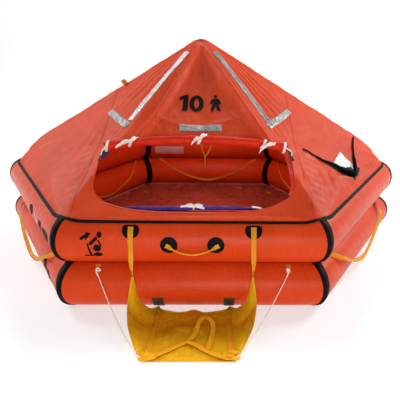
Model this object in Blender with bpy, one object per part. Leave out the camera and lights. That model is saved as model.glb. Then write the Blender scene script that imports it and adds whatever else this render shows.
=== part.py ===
# Inflatable life raft with a twin-tube hexagonal hull, a fabric canopy over an arch tube,
# lifelines and a boarding ramp, standing inflated on a floor. Metres, +Z up, entrance towards -Y.
import bpy
import bmesh
from math import asin, atan2, ceil, cos, pi, radians, sin, sqrt
from mathutils import Vector

# Driving dimensions of the hull
side_length = 1.375          # tube centreline, corner to corner, which is also the corner radius
tube_radius = 0.150
lower_centre = 0.146         # height of the lower tube's centreline: its underside is pressed flat
tube_pitch = 0.290           # from one tube's centreline to the other's
fit_gap = 0.0003             # clearance between neighbours that touch
tape_thickness = 0.0012
tube_step = radians(10)     # facets of every round surface on the tubes meet at these angles

# Canopy and its arch
crown_height = 1.487
crown_half_width = 0.050
elbow_reach = 1.285          # where the ridge bends down towards the side corners
elbow_height = 0.742
canopy_thickness = 0.003
canopy_edge_angle = radians(57.3)   # on the upper tube, up from its outer side
seam_tape_angles = (radians(46.5), radians(57.0))
panel_seam_x = 0.645         # the middle strip of fabric runs from front to back between these
panel_seam_foot_x = 0.715
arch_radius = 0.055
arch_depth = 0.066           # arch centreline below the canopy's ridge

# Entrance
door_half_width = 0.592
door_middle_height = 0.735
door_top_height = 0.915
door_top_power = 8.0         # how square the entrance's upper corners are
door_sill_power = 3.0
door_sill_height = 0.588
door_roll_radius = 0.030
door_roll_reach = 0.510
door_tie_places = (2, 10, 17)   # ties, as stations along the rolled door

# Fittings
patch_radius = 0.048
patch_thickness = 0.0015
webbing_thickness = 0.002
strap_place = 0.340          # boarding straps, left and right of the middle
strap_width = 0.030
strap_end_height = 0.262
handle_place = 0.130
lifeline_width = 0.025
lifeline_half_span = 0.560
lifeline_low_point = 0.070
cord_radius = 0.003
cord_tab_place = 0.550
ramp_thickness = 0.002
floor_low = 0.0053
floor_thickness = 0.006

# Worked out from these
apothem = side_length * cos(pi / 6)
upper_centre = lower_centre + tube_pitch
contact_height = lower_centre + tube_pitch / 2
web_half = tape_thickness / 2
contact_clear = web_half + fit_gap
corner_angles = {"right": 0, "back_right": 60, "back_left": 120,
                 "left": 180, "front_left": 240, "front_right": 300}
side_angles = {"back_right": 30, "back": 90, "back_left": 150,
               "front_left": 210, "front": 270, "front_right": 330}


def clear_scene():
    for item in list(bpy.data.objects):
        bpy.data.objects.remove(item, do_unlink=True)


def make_material(name, colour, roughness, metallic=0.0):
    material = bpy.data.materials.get(name)
    if material is None:
        material = bpy.data.materials.new(name)
        material.use_nodes = True
        shader = material.node_tree.nodes["Principled BSDF"]
        shader.inputs["Base Color"].default_value = (*colour, 1.0)
        shader.inputs["Roughness"].default_value = roughness
        shader.inputs["Metallic"].default_value = metallic
    return material


def tube_fabric():
    return make_material("tube_fabric", (0.72, 0.075, 0.018), 0.38)


def canopy_fabric():
    return make_material("canopy_fabric", (0.70, 0.09, 0.035), 0.5)


def door_fabric():
    return make_material("door_fabric", (0.80, 0.06, 0.02), 0.5)


def black_rubber():
    return make_material("black_rubber", (0.012, 0.012, 0.013), 0.5)


def yellow_webbing():
    return make_material("yellow_webbing", (0.80, 0.42, 0.02), 0.7)


def ramp_fabric():
    return make_material("ramp_fabric", (0.78, 0.40, 0.012), 0.6)


def white_cord():
    return make_material("white_cord", (0.80, 0.72, 0.68), 0.8)


def floor_fabric():
    return make_material("floor_fabric", (0.30, 0.03, 0.02), 0.22)


def lining_fabric():
    return make_material("lining_fabric", (0.07, 0.06, 0.35), 0.6)


def place_mesh(name, points, faces, material):
    mesh = bpy.data.meshes.new(name)
    mesh.from_pydata([tuple(p) for p in points], [], faces)
    work = bmesh.new()
    work.from_mesh(mesh)
    bmesh.ops.recalc_face_normals(work, faces=work.faces)
    work.to_mesh(mesh)
    work.free()
    part = bpy.data.objects.new(name, mesh)
    bpy.context.collection.objects.link(part)
    if material is not None:
        part.data.materials.append(material)
    return part


def smooth_shade(part, sharp_angle=35):
    part.data.shade_smooth()
    part.data.set_sharp_from_angle(angle=radians(sharp_angle))


def mark_cutter(cutter):
    cutter.hide_render = True
    cutter.display_type = "WIRE"


def add_boolean(part, cutter, operation):
    step = part.modifiers.new(operation.lower() + "_" + cutter.name, "BOOLEAN")
    step.operation = operation
    step.solver = "EXACT"
    step.object = cutter


def skin_sections(sections, closed):
    """Faces between rings of equal length; an open run gets a cap at each end."""
    count = len(sections[0])
    points = [p for section in sections for p in section]
    faces = []
    runs = len(sections) if closed else len(sections) - 1
    for i in range(runs):
        here = i * count
        there = ((i + 1) % len(sections)) * count
        for j in range(count):
            k = (j + 1) % count
            faces.append((here + j, here + k, there + k, there + j))
    if not closed:
        faces.append(tuple(range(count)))
        faces.append(tuple(range((len(sections) - 1) * count, len(sections) * count)))
    return points, faces


def ring_point(corner_angle, outward, height):
    """A point on a corner's mitre plane, `outward` from the tube centreline's side."""
    reach = side_length + outward / cos(pi / 6)
    return Vector((reach * cos(corner_angle), reach * sin(corner_angle), height))


def side_point(side_name, along, outward, height):
    """A point beside the middle of a hull side; `along` runs anticlockwise seen from above."""
    angle = radians(side_angles[side_name])
    normal = Vector((cos(angle), sin(angle), 0))
    tangent = Vector((-sin(angle), cos(angle), 0))
    return normal * (apothem + outward) + tangent * along + Vector((0, 0, height))


def hexagon_ring(name, profile, material):
    sections = [[ring_point(radians(60 * k), o, z) for o, z in profile] for k in range(6)]
    return place_mesh(name, *skin_sections(sections, True), material)


def arc_angles(start, end):
    """Start, every whole facet angle between, end; in either direction."""
    low, high = min(start, end), max(start, end)
    first, last = ceil(low / tube_step + 0.2), int(high / tube_step + 100 - 0.2) - 100
    angles = [low] + [tube_step * i for i in range(first, last + 1)] + [high]
    return angles if start < end else angles[::-1]


def arc_points(radius, centre, start, end):
    return [(radius * cos(a), centre + radius * sin(a)) for a in arc_angles(start, end)]


def tube_profile(centre, low_flat, high_flat, radius):
    """Circle with its underside, and its top where given, pressed flat at these heights."""
    low = -asin((centre - low_flat) / radius)
    if high_flat is None:
        return arc_points(radius, centre, low, pi - low)
    high = asin((high_flat - centre) / radius)
    return arc_points(radius, centre, low, high) + arc_points(radius, centre, pi - high, pi - low)


def make_tubes():
    lower = tube_profile(lower_centre, 0.0, contact_height - contact_clear, tube_radius)
    upper = tube_profile(upper_centre, contact_height + contact_clear, None, tube_radius)
    smooth_shade(hexagon_ring("lower_tube", lower, tube_fabric()))
    smooth_shade(hexagon_ring("upper_tube", upper, tube_fabric()))


def band_outline():
    """Tape over a corner's mitre seam on both tubes, joined by the web pressed between them."""
    near = tube_radius + fit_gap
    far = near + tape_thickness
    crease = asin((tube_pitch / 2) / far)
    web = asin((tube_pitch / 2 - web_half) / near)
    floor_end = radians(-66)
    top_end = radians(45.5)
    inner_top = radians(140)
    inner_low = radians(180 + 60)
    outline = arc_points(far, lower_centre, floor_end, crease)
    outline += arc_points(far, upper_centre, -crease, top_end)[1:]
    outline += arc_points(near, upper_centre, top_end, -web)
    outline += arc_points(near, upper_centre, pi + web, inner_top)
    outline += arc_points(far, upper_centre, inner_top, pi + crease)
    outline += arc_points(far, lower_centre, pi - crease, inner_low)[1:]
    outline += arc_points(near, lower_centre, inner_low, pi - web)
    outline += arc_points(near, lower_centre, web, floor_end)
    return outline


def make_corner_bands(half_width=0.019):
    outline = band_outline()
    for name, degrees in corner_angles.items():
        angle = radians(degrees)
        before = Vector((sin(angle - pi / 6), -cos(angle - pi / 6), 0)) * half_width
        after = Vector((-sin(angle + pi / 6), cos(angle + pi / 6), 0)) * half_width
        seam = [ring_point(angle, o, z) for o, z in outline]
        sections = [[p + before for p in seam], seam, [p + after for p in seam]]
        smooth_shade(place_mesh("corner_band_" + name, *skin_sections(sections, False), black_rubber()))


def make_floor():
    """Floor sheet: a hexagonal slab, bevelled above, whose edge meets the inner foot of the lower tube."""
    def reach(height):
        inset = sqrt(tube_radius ** 2 - (lower_centre - height) ** 2)
        return side_length - (inset + 2 * fit_gap) / cos(pi / 6)

    bevel_height, bevel_width = 0.0015, 0.014
    high = floor_low + floor_thickness
    shoulder = high - bevel_height
    rims = [(reach(floor_low), floor_low), (reach(shoulder), shoulder), (reach(shoulder) - bevel_width, high)]
    sections = [[Vector((r * cos(radians(60 * k)), r * sin(radians(60 * k)), z)) for k in range(6)]
                for r, z in rims]
    place_mesh("floor", *skin_sections(sections, False), floor_fabric())


def box_between(name, low, high, material):
    x0, y0, z0 = low
    x1, y1, z1 = high
    section = [(x0, y0), (x1, y0), (x1, y1), (x0, y1)]
    sections = [[Vector((x, y, z)) for x, y in section] for z in (z0, z1)]
    return place_mesh(name, *skin_sections(sections, False), material)


def make_underside():
    """Righting strap across the bottom and four ballast pockets, folded flat under the floor."""
    strap_half, strap_top = 0.030, 0.0030
    reach = apothem - 0.0470
    box_between("righting_strap", (-strap_half, -reach, 0), (strap_half, reach, strap_top), black_rubber())
    pocket_length, pocket_width, pocket_top = 0.46, 0.30, 0.0048
    for name, x, y in (("front_left", -1, -1), ("front_right", 1, -1), ("back_left", -1, 1), ("back_right", 1, 1)):
        cx, cy = 0.50 * x, 0.52 * y
        box_between("ballast_pocket_" + name, (cx - pocket_length / 2, cy - pocket_width / 2, 0),
                    (cx + pocket_length / 2, cy + pocket_width / 2, pocket_top), tube_fabric())


def plane_through(a, b, c):
    normal = (b - a).cross(c - a).normalized()
    return normal, normal.dot(a)


def canopy_corners():
    """The canopy's outer corners: crown, the two elbows and the six corners on the upper tube."""
    radius = tube_radius + 0.0005 + canopy_thickness
    outward = radius * cos(canopy_edge_angle)
    height = upper_centre + radius * sin(canopy_edge_angle)
    corners = {name: ring_point(radians(a), outward, height) for name, a in corner_angles.items()}
    for name, sign in (("left", -1), ("right", 1)):
        corners["crown_" + name] = Vector((sign * crown_half_width, 0, crown_height))
        corners["elbow_" + name] = Vector((sign * elbow_reach, 0, elbow_height))
    return corners


def canopy_front_y(x, z):
    """Depth of the canopy's front surface at this place across and height."""
    corners = canopy_corners()
    depths = []
    for trio in (("crown_left", "front_left", "front_right"), ("crown_right", "elbow_right", "front_right"),
                 ("crown_left", "elbow_left", "front_left")):
        normal, offset = plane_through(*[corners[name] for name in trio])
        depths.append((offset - normal.x * x - normal.z * z) / normal.y)
    return max(depths)


def canopy_surface():
    corners = canopy_corners()
    names = list(corners)
    faces = [("crown_left", "front_left", "front_right", "crown_right"),
             ("crown_right", "front_right", "elbow_right"), ("elbow_right", "front_right", "right"),
             ("crown_left", "elbow_left", "front_left"), ("elbow_left", "left", "front_left"),
             ("crown_right", "back_right", "back_left", "crown_left"),
             ("crown_right", "elbow_right", "back_right"), ("elbow_right", "right", "back_right"),
             ("crown_left", "back_left", "elbow_left"), ("elbow_left", "back_left", "left")]
    mesh = bpy.data.meshes.new("canopy_surface")
    mesh.from_pydata([tuple(corners[n]) for n in names], [], [tuple(names.index(n) for n in f) for f in faces])
    mesh.materials.append(canopy_fabric())
    return mesh


def prism(name, outline, low, high):
    sections = [[Vector((x, y, z)) for x, y in outline] for z in (low, high)]
    cutter = place_mesh(name, *skin_sections(sections, False), None)
    mark_cutter(cutter)
    return cutter


def door_outline(count=20):
    """Entrance seen from the front: nearly straight above, round below."""
    points = []
    for i in range(2 * count):
        angle = pi * i / count
        power = door_top_power if sin(angle) > 0 else door_sill_power
        rise = (door_top_height if sin(angle) > 0 else door_sill_height) - door_middle_height
        x = abs(cos(angle)) ** (2 / power) * (1 if cos(angle) > 0 else -1)
        points.append((door_half_width * x, door_middle_height + rise * abs(sin(angle)) ** (2 / power)))
    return points


def door_cutter():
    sections = [[Vector((x, y, z)) for x, z in door_outline()] for y in (-2.0, -0.45)]
    cutter = place_mesh("door_cutter", *skin_sections(sections, False), None)
    mark_cutter(cutter)
    return cutter


def make_canopy():
    """Six panels split at the arch and at the sewn seams beside the entrance."""
    surface = canopy_surface()
    half_gap = fit_gap / 2
    seam_end, far = 1.50, 1.70
    for fore, ahead in (("front", -1), ("back", 1)):
        middle = [(-panel_seam_x, ahead * half_gap), (-panel_seam_x, ahead * 0.60),
                  (-panel_seam_foot_x, ahead * seam_end), (panel_seam_foot_x, ahead * seam_end),
                  (panel_seam_x, ahead * 0.60), (panel_seam_x, ahead * half_gap)]
        cutters = {fore: middle}
        for hand, sign in (("left", -1), ("right", 1)):
            cutters[fore + "_" + hand] = [(sign * (panel_seam_x + fit_gap), ahead * half_gap),
                                          (sign * (panel_seam_x + fit_gap), ahead * 0.60),
                                          (sign * (panel_seam_foot_x + fit_gap), ahead * seam_end),
                                          (sign * far, ahead * seam_end), (sign * far, ahead * half_gap)]
        for name, outline in cutters.items():
            panel = bpy.data.objects.new("canopy_" + name, surface)
            bpy.context.collection.objects.link(panel)
            shell = panel.modifiers.new("shell", "SOLIDIFY")
            shell.thickness = canopy_thickness
            shell.offset = -1
            shell.use_even_offset = True
            add_boolean(panel, prism("cutter_canopy_" + name, outline, 0.3, 1.8), "INTERSECT")
            if name == "front":
                add_boolean(panel, door_cutter(), "DIFFERENCE")


def make_seam_tape():
    """Black tape along the canopy's lower edge, right round the upper tube."""
    near = tube_radius + fit_gap
    far = near + 1.5 * tape_thickness
    start, end = seam_tape_angles
    angles = [start + (end - start) * i / 3 for i in range(4)]
    profile = [(far * cos(a), upper_centre + far * sin(a)) for a in angles]
    profile += [(near * cos(a), upper_centre + near * sin(a)) for a in reversed(angles)]
    hexagon_ring("canopy_tape", profile, black_rubber())


def circle_section(centre, direction, radius, sides, up=Vector((0, 1, 0))):
    across = direction.cross(up).normalized()
    over = across.cross(direction).normalized()
    return [centre + across * (radius * cos(2 * pi * i / sides)) + over * (radius * sin(2 * pi * i / sides))
            for i in range(sides)]


def path_directions(points):
    directions = []
    for i in range(len(points)):
        before = points[max(i - 1, 0)]
        after = points[min(i + 1, len(points) - 1)]
        directions.append((after - before).normalized())
    return directions


def round_tube(name, points, radius, sides, material, up=Vector((0, 1, 0))):
    sections = [circle_section(p, d, radius, sides, up) for p, d in zip(points, path_directions(points))]
    part = place_mesh(name, *skin_sections(sections, False), material)
    smooth_shade(part, 50)
    return part


def ribbon(name, points, across, width, thickness, material):
    """Flat webbing along a route; `across` holds the direction of its width at each point."""
    sections = []
    for p, d, a in zip(points, path_directions(points), across):
        face = d.cross(a).normalized()
        wide = face.cross(d).normalized() * (width / 2)
        thick = face * (thickness / 2)
        sections.append([p - wide - thick, p + wide - thick, p + wide + thick, p - wide + thick])
    return place_mesh(name, *skin_sections(sections, False), material)


def make_arch():
    """Inflated arch from side corner to side corner, its feet shaped to the upper tube."""
    ridge = Vector((elbow_reach - crown_half_width, 0, elbow_height - crown_height)).normalized()
    corner = canopy_corners()["right"]
    foot = (corner - Vector((elbow_reach, 0, elbow_height))).normalized()
    lower_ridge = Vector((elbow_reach, 0, elbow_height)) + Vector((ridge.z, 0, -ridge.x)) * arch_depth
    lower_foot = Vector((elbow_reach, 0, elbow_height)) + Vector((foot.z, 0, -foot.x)) * arch_depth
    cross = ridge.x * foot.z - ridge.z * foot.x
    gap = lower_foot - lower_ridge
    elbow = lower_ridge + ridge * ((gap.x * foot.z - gap.z * foot.x) / cross)
    rise = ridge.z / ridge.x
    half = [elbow + foot * 0.21, elbow + foot * 0.05, elbow - ridge * 0.05]
    half += [Vector((x, 0, elbow.z + rise * (x - elbow.x))) for x in (0.90, 0.50, 0.20, 0.10)]
    top = Vector((0, 0, crown_height - 0.082))
    mirrored = [Vector((-p.x, 0, p.z)) for p in reversed(half)]
    arch = round_tube("arch_tube", half + [top] + mirrored, arch_radius, 16, tube_fabric())
    grow = 1 + 1.5 * fit_gap / tube_radius
    tube = tube_profile(upper_centre, contact_height + contact_clear, None, tube_radius)
    saddle_profile = [(o * grow, upper_centre + (z - upper_centre) * grow) for o, z in tube]
    saddle = hexagon_ring("saddle_cutter", saddle_profile, None)
    mark_cutter(saddle)
    add_boolean(arch, saddle, "DIFFERENCE")


def door_edge_height(x):
    share = (abs(x) / door_half_width) ** door_top_power
    return door_middle_height + (door_top_height - door_middle_height) * (1 - share) ** (1 / door_top_power)


def door_roll_point(x):
    """Middle of the rolled door, hung just below the entrance's upper edge."""
    drop = door_roll_radius + 0.0041 + 0.012 * (x / door_roll_reach) ** 6
    height = door_edge_height(x)
    slope = atan2(door_top_height - door_sill_height,
                  canopy_front_y(0, door_top_height) - canopy_front_y(0, door_sill_height))
    return Vector((x, canopy_front_y(x, height) - drop * cos(slope), height - drop * sin(slope)))


def make_door():
    steps = 20
    route = [door_roll_point(-door_roll_reach + 2 * door_roll_reach * i / steps) for i in range(steps + 1)]
    round_tube("door_roll", route, door_roll_radius, 12, door_fabric())
    for name, place in zip(("left", "middle", "right"), door_tie_places):
        make_tie("door_tie_" + name, route[place], route[place + 1])
    for name, sign in (("left", -1), ("right", 1)):
        make_toggle("door_toggle_" + name, sign)
    sill_radius = 0.014
    sill = [Vector((-0.40 + 0.08 * i, -1.165, 0.5981)) for i in range(11)]
    round_tube("sill_roll", sill, sill_radius, 10, lining_fabric())


def make_tie(name, start, end, width=0.018, sides=20):
    """A loop of tape round the rolled door, between two points of its route."""
    middle = (start + end) / 2
    direction = (end - start).normalized()
    inner, outer = door_roll_radius + 0.0006, door_roll_radius + 0.0036
    stations = ((-width / 2, inner), (-width / 2, outer), (width / 2, outer), (width / 2, inner))
    rings = [circle_section(middle + direction * shift, direction, radius, sides) for shift, radius in stations]
    place_mesh(name, *skin_sections(rings, True), white_cord())


def make_toggle(name, sign):
    """Toggle button that holds the door roll's end, lying on the canopy beside the entrance."""
    start = Vector((sign * 0.585, 0, 0.900))
    end = Vector((sign * 0.612, 0, 0.858))
    normal = canopy_side_normal(sign)
    radius = 0.008
    points = []
    for i in range(4):
        p = start.lerp(end, i / 3)
        points.append(Vector((p.x, canopy_front_y(p.x, p.z), p.z)) + normal * (radius + 0.0006))
    round_tube(name, points, radius, 10, black_rubber(), Vector((0, 0, 1)))


def canopy_side_normal(sign):
    corners = canopy_corners()
    hand = "right" if sign > 0 else "left"
    normal, _ = plane_through(corners["crown_" + hand], corners["elbow_" + hand], corners["front_" + hand])
    return normal if normal.z > 0 else -normal


def tube_patch(name, side_name, along, angle, rings, material, centre=upper_centre, limit=None):
    """Disc of rings of (along, round) offsets, wrapped on a tube."""
    near = tube_radius + 2 * fit_gap
    far = near + patch_thickness
    points, faces = [], []
    for radius in (near, far):
        for s, v in [(0.0, 0.0)] + [p for ring in rings for p in ring]:
            a = angle + v / tube_radius
            if limit is not None:
                a = min(a, limit)
            points.append(side_point(side_name, along + s, radius * cos(a), centre + radius * sin(a)))
    count = len(rings[0])
    layer = 1 + count * len(rings)
    for base, turn in ((0, False), (layer, True)):
        for j in range(count):
            k = (j + 1) % count
            trio = (base, base + 1 + j, base + 1 + k)
            faces.append(trio if turn else trio[::-1])
            for i in range(len(rings) - 1):
                low, high = base + 1 + i * count, base + 1 + (i + 1) * count
                quad = (low + j, high + j, high + k, low + k)
                faces.append(quad if turn else quad[::-1])
    edge = 1 + (len(rings) - 1) * count
    for j in range(count):
        k = (j + 1) % count
        faces.append((edge + j, edge + k, layer + edge + k, layer + edge + j))
    return place_mesh(name, points, faces, material)


def disc_rings(radius, count=24):
    return [[(radius * share * cos(2 * pi * i / count), radius * share * sin(2 * pi * i / count))
             for i in range(count)] for share in (0.4, 0.7, 1.0)]


def make_front_patches():
    tape_limit = seam_tape_angles[0] - radians(0.3)
    disc = disc_rings(patch_radius)
    for name, sign in (("left", -1), ("right", 1)):
        tube_patch("strap_patch_" + name, "front", sign * strap_place, radians(35), disc, black_rubber(),
                   limit=tape_limit)
        tube_patch("handle_patch_" + name, "front", sign * handle_place, radians(3), disc, black_rubber())


def make_handle():
    """Webbing grab handle between the two lower patches."""
    half, sag, bulge = 0.148, 0.040, 0.036
    base = tube_radius + patch_thickness + 4 * fit_gap + webbing_thickness / 2
    points = []
    for i in range(17):
        s = -half + 2 * half * i / 16
        share = abs(s) / half
        lift = bulge * (1 - share ** 2) ** 1.5 if share < 0.86 else 0.0
        drop = sag * (1 - share ** 2)
        angle = asin((0.008 - drop) / base)
        points.append(side_point("front", s, base * cos(angle) + lift, upper_centre + 0.008 - drop))
    outward = Vector((0, -1, 0))
    across = [outward.cross(d) for d in path_directions(points)]
    ribbon("grab_handle", points, across, 0.018, webbing_thickness, yellow_webbing())


def make_boarding_straps():
    """Straps from the outer patches down over both tubes to the ramp."""
    radius = tube_radius + patch_thickness + 4 * fit_gap + webbing_thickness / 2
    for name, sign in (("left", -1), ("right", 1)):
        route = []
        for i in range(9):
            a = radians(42 - 42 * i / 8)
            route.append((radius * cos(a), upper_centre + radius * sin(a)))
        route += [(radius, contact_height), (radius, strap_end_height)]
        points = [side_point("front", sign * strap_place, o, z) for o, z in route]
        across = [Vector((1, 0, 0))] * len(points)
        ribbon("boarding_strap_" + name, points, across, strap_width, webbing_thickness, yellow_webbing())


def make_ramp():
    """Boarding ramp: a fabric panel lying in front of the raft, with a gusset up to each strap."""
    front_y = -1.768
    strap_y = -(apothem + tube_radius + patch_thickness + 4 * fit_gap + webbing_thickness / 2)
    outer_edge = [(0.355, strap_y, strap_end_height - 0.0003), (0.364, -1.42, 0.135), (0.352, -1.50, 0.098),
                  (0.333, -1.58, 0.072), (0.299, -1.66, 0.046), (0.258, -1.74, 0.014), (0.238, -1.772, 0.002)]
    rear_edge = [(0.210, -1.283, 0.012), (0.258, -1.3425, 0.045), (0.306, -1.3470, 0.105), (0.326, -1.3450, 0.200),
                 (0.340, strap_y, strap_end_height - 0.0003)]
    rows, gusset_columns, middle_columns = 8, 4, 6

    def at(route, share):
        place = min(share, 0.9999) * (len(route) - 1)
        i = int(place)
        return Vector(route[i]).lerp(Vector(route[i + 1]), place - i)

    def side_line(v):
        return Vector((0.210, -1.283, 0.012)).lerp(Vector((0.228, front_y, 0.0006)), v ** 0.8)

    def half_row(v):
        row = []
        for i in range(gusset_columns + 1):
            w = i / gusset_columns
            plain = side_line(v).lerp(at(outer_edge, v), w)
            pull = at(rear_edge, w) - side_line(0).lerp(at(outer_edge, 0), w)
            row.append(plain + pull * (1 - v) ** 2.5)
        return row

    def middle_row(v):
        left, right = side_line(v), side_line(v)
        left.x = -left.x
        row = []
        for i in range(1, middle_columns):
            w = i / middle_columns
            p = left.lerp(right, w)
            scallop = 0.045 * sin(pi * w) ** 0.35 * (1 - v) ** 3
            p.y -= scallop
            p.z = max(0.0006, p.z * (1 - sin(pi * w)))
            row.append(p)
        return row

    points, faces = [], []
    for j in range(rows):
        v = j / (rows - 1)
        right = half_row(v)
        left = [Vector((-p.x, p.y, p.z)) for p in reversed(right)]
        points += left + middle_row(v) + right
    count = len(points) // rows
    for j in range(rows - 1):
        for i in range(count - 1):
            a = j * count + i
            faces.append((a, a + count, a + count + 1, a + 1))
    ramp = place_mesh("boarding_ramp", points, faces, ramp_fabric())
    if sum(face.normal.z for face in ramp.data.polygons) < 0:
        ramp.data.flip_normals()
    shell = ramp.modifiers.new("shell", "SOLIDIFY")
    shell.thickness = ramp_thickness
    shell.offset = 1


def make_ramp_anchors():
    """Short black straps that tie the ramp's rear corners to the lower tube."""
    radius = tube_radius + 0.0016
    for name, sign in (("left", -1), ("right", 1)):
        points = []
        for i in range(6):
            a = radians(-22 - 40 * i / 5)
            points.append(side_point("front", sign * 0.207, radius * cos(a), lower_centre + radius * sin(a)))
        ribbon("ramp_anchor_" + name, points, [Vector((1, 0, 0))] * 6, 0.060, webbing_thickness, black_rubber())


def make_ramp_cords():
    """White cords from tabs in the tube crease to the ramp's front corners."""
    radius = tube_radius + 0.0014
    for name, sign, sag in (("left", -1, 0.055), ("right", 1, 0.030)):
        tab = []
        for i in range(5):
            a = radians(66 - 21 * i / 4)
            tab.append(side_point("front", sign * cord_tab_place, radius * cos(a), lower_centre + radius * sin(a)))
        ribbon("cord_tab_" + name, tab, [Vector((1, 0, 0))] * 5, 0.028, webbing_thickness, yellow_webbing())
        a = radians(44.46)
        reach = tube_radius + fit_gap + cord_radius
        start = side_point("front", sign * cord_tab_place, reach * cos(a), lower_centre + reach * sin(a))
        end = Vector((sign * 0.262, -1.752, 0.0245))
        steps = 40
        route = [start.lerp(end, i / steps) - Vector((0, 0, sag * 4 * (i / steps) * (1 - i / steps)))
                 for i in range(steps + 1)]
        cord_curve("ramp_cord_" + name, route)


def cord_curve(name, route):
    curve = bpy.data.curves.new(name, "CURVE")
    curve.dimensions = "3D"
    curve.bevel_depth = cord_radius
    curve.bevel_resolution = 2
    curve.use_fill_caps = True
    spline = curve.splines.new("POLY")
    spline.points.add(len(route) - 1)
    for point, place in zip(spline.points, route):
        point.co = (*place, 1)
    curve.materials.append(white_cord())
    cord = bpy.data.objects.new(name, curve)
    bpy.context.collection.objects.link(cord)


def make_lifelines():
    """Webbing loops hung from the crease between the tubes, outside and inside the hull."""
    hang_reach = tube_radius + 0.006
    outside = {"lifeline_" + name: (name, 1, lifeline_low_point) for name in side_angles if name != "front"}
    outside["lifeline_back"] = ("back", 1, 0.190)
    inside = {"inner_lifeline_" + name: (name, -1, 0.075) for name in ("back_left", "back", "back_right")}
    for node, (side_name, sign, low) in {**outside, **inside}.items():
        half = lifeline_half_span if sign > 0 else 0.500
        crease_reach = 0.0701 if sign > 0 else 0.0690   # the ends lie just clear of both tubes
        points = []
        for i in range(25):
            s = -half + 2 * half * i / 24
            share = abs(s) / half
            z = low + (contact_height - low) * share ** 2
            out = hang_reach - (hang_reach - crease_reach) * max(0, (share - 0.80) / 0.20) ** 1.6
            points.append(side_point(side_name, s, sign * out, z))
        angle = radians(side_angles[side_name])
        outward = Vector((cos(angle), sin(angle), 0))
        across = [outward.cross(d) for d in path_directions(points)]
        ribbon(node, points, across, lifeline_width, webbing_thickness, yellow_webbing())


def fin(name, base, up, heights, thickness, material):
    """A strip of fabric that stands on the canopy along the points of `base`."""
    lift = 0.0006
    sections = []
    for p, d, h in zip(base, path_directions(base), heights):
        thick = d.cross(up).normalized() * (thickness / 2)
        low, high = p + up * lift, p + up * h
        sections.append([low - thick, low + thick, high + thick, high - thick])
    return place_mesh(name, *skin_sections(sections, False), material)


def on_right_face(x, y):
    """Point on the canopy's right-hand front face."""
    corners = canopy_corners()
    normal, offset = plane_through(corners["crown_right"], corners["elbow_right"], corners["front_right"])
    return Vector((x, y, (offset - normal.x * x - normal.y * y) / normal.z))


def make_canopy_fittings():
    """Rain gutter with its blank tag on the right, and a webbing tab on the left of the ridge."""
    up = canopy_side_normal(1)
    gutter = [on_right_face(0.688, -0.655), on_right_face(0.88, -0.643), on_right_face(1.060, -0.610),
              on_right_face(1.125, -0.32), on_right_face(1.185, -0.035)]
    fin("rain_gutter", gutter, up, (0.008, 0.020, 0.042, 0.018, 0.008), 0.003, black_rubber())
    low, high = on_right_face(0.945, -0.575), on_right_face(1.035, -0.565)
    inward = on_right_face(0.945, -0.46) - low
    base = [low, high, high + inward, low + inward]
    sections = [[p + up * lift for p in base] for lift in (0.0006, 0.0022)]
    place_mesh("gutter_tag", *skin_sections(sections, False),
               make_material("blank_tag", (0.75, 0.72, 0.70), 0.6))
    left_up = canopy_side_normal(-1)
    tab = []
    for x in (-0.585, -0.558):
        mirrored = on_right_face(-x, -0.012)
        tab.append(Vector((x, mirrored.y, mirrored.z)))
    fin("ridge_tab", tab, left_up, (0.040, 0.040), webbing_thickness, yellow_webbing())


def make_inside_label():
    """Blank label on the inner face of the upper tube, opposite the entrance."""
    half_width, half_height, steps = 0.145, 0.042, 6
    ring = [(-half_width, -half_height + 2 * half_height * i / steps) for i in range(steps)]
    ring += [(-half_width + 2 * half_width * i / steps, half_height) for i in range(steps)]
    ring += [(half_width, half_height - 2 * half_height * i / steps) for i in range(steps)]
    ring += [(half_width - 2 * half_width * i / steps, -half_height) for i in range(steps)]
    rings = [[(s * share, v * share) for s, v in ring] for share in (0.25, 0.5, 0.75, 1.0)]
    tube_patch("inside_label", "back", 0.385, pi + radians(17), rings,
               make_material("blank_label", (0.62, 0.42, 0.40), 0.6))


def make_gas_cylinder():
    """Inflation cylinder lying against the lower tube at the back, with its valve head."""
    radius, half_length, lift = 0.065, 0.24, 0.0005
    distance = tube_radius + radius - 0.0005   # the facets of both lie inside their true circles
    height = radius + lift
    y = apothem + sqrt(distance ** 2 - (lower_centre - height) ** 2)
    profile = [(-half_length, 0.040), (-half_length + 0.008, 0.055), (-half_length + 0.03, radius),
               (half_length - 0.05, radius), (half_length - 0.02, 0.050), (half_length, 0.024)]
    sides = 20
    sections = [circle_section(Vector((x, y, height)), Vector((1, 0, 0)), r, sides) for x, r in profile]
    cylinder = place_mesh("gas_cylinder", *skin_sections(sections, False),
                          make_material("cylinder_paint", (0.32, 0.34, 0.36), 0.4))
    smooth_shade(cylinder)
    head = [(half_length + fit_gap, 0.022), (half_length + 0.05, 0.022), (half_length + 0.055, 0.016),
            (half_length + 0.085, 0.016)]
    sections = [circle_section(Vector((x, y, height)), Vector((1, 0, 0)), r, 12) for x, r in head]
    place_mesh("cylinder_valve", *skin_sections(sections, False),
               make_material("valve_brass", (0.55, 0.40, 0.15), 0.35, 1.0))


def make_topping_valve():
    """Topping-up valve on the inner face of the upper tube, beside the entrance."""
    profile = [(0.0002, 0.022), (0.010, 0.022), (0.014, 0.017), (0.018, 0.010)]
    angle = pi - radians(8)
    centre = side_point("front_right", 0.25, tube_radius * cos(angle), upper_centre + tube_radius * sin(angle))
    axis_angle = radians(side_angles["front_right"])
    outward = Vector((cos(axis_angle), sin(axis_angle), 0))
    direction = (outward * cos(angle) + Vector((0, 0, sin(angle)))).normalized()
    sections = [circle_section(centre + direction * d, direction, r, 16, Vector((0, 0, 1))) for d, r in profile]
    place_mesh("topping_valve", *skin_sections(sections, False), black_rubber())


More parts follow.
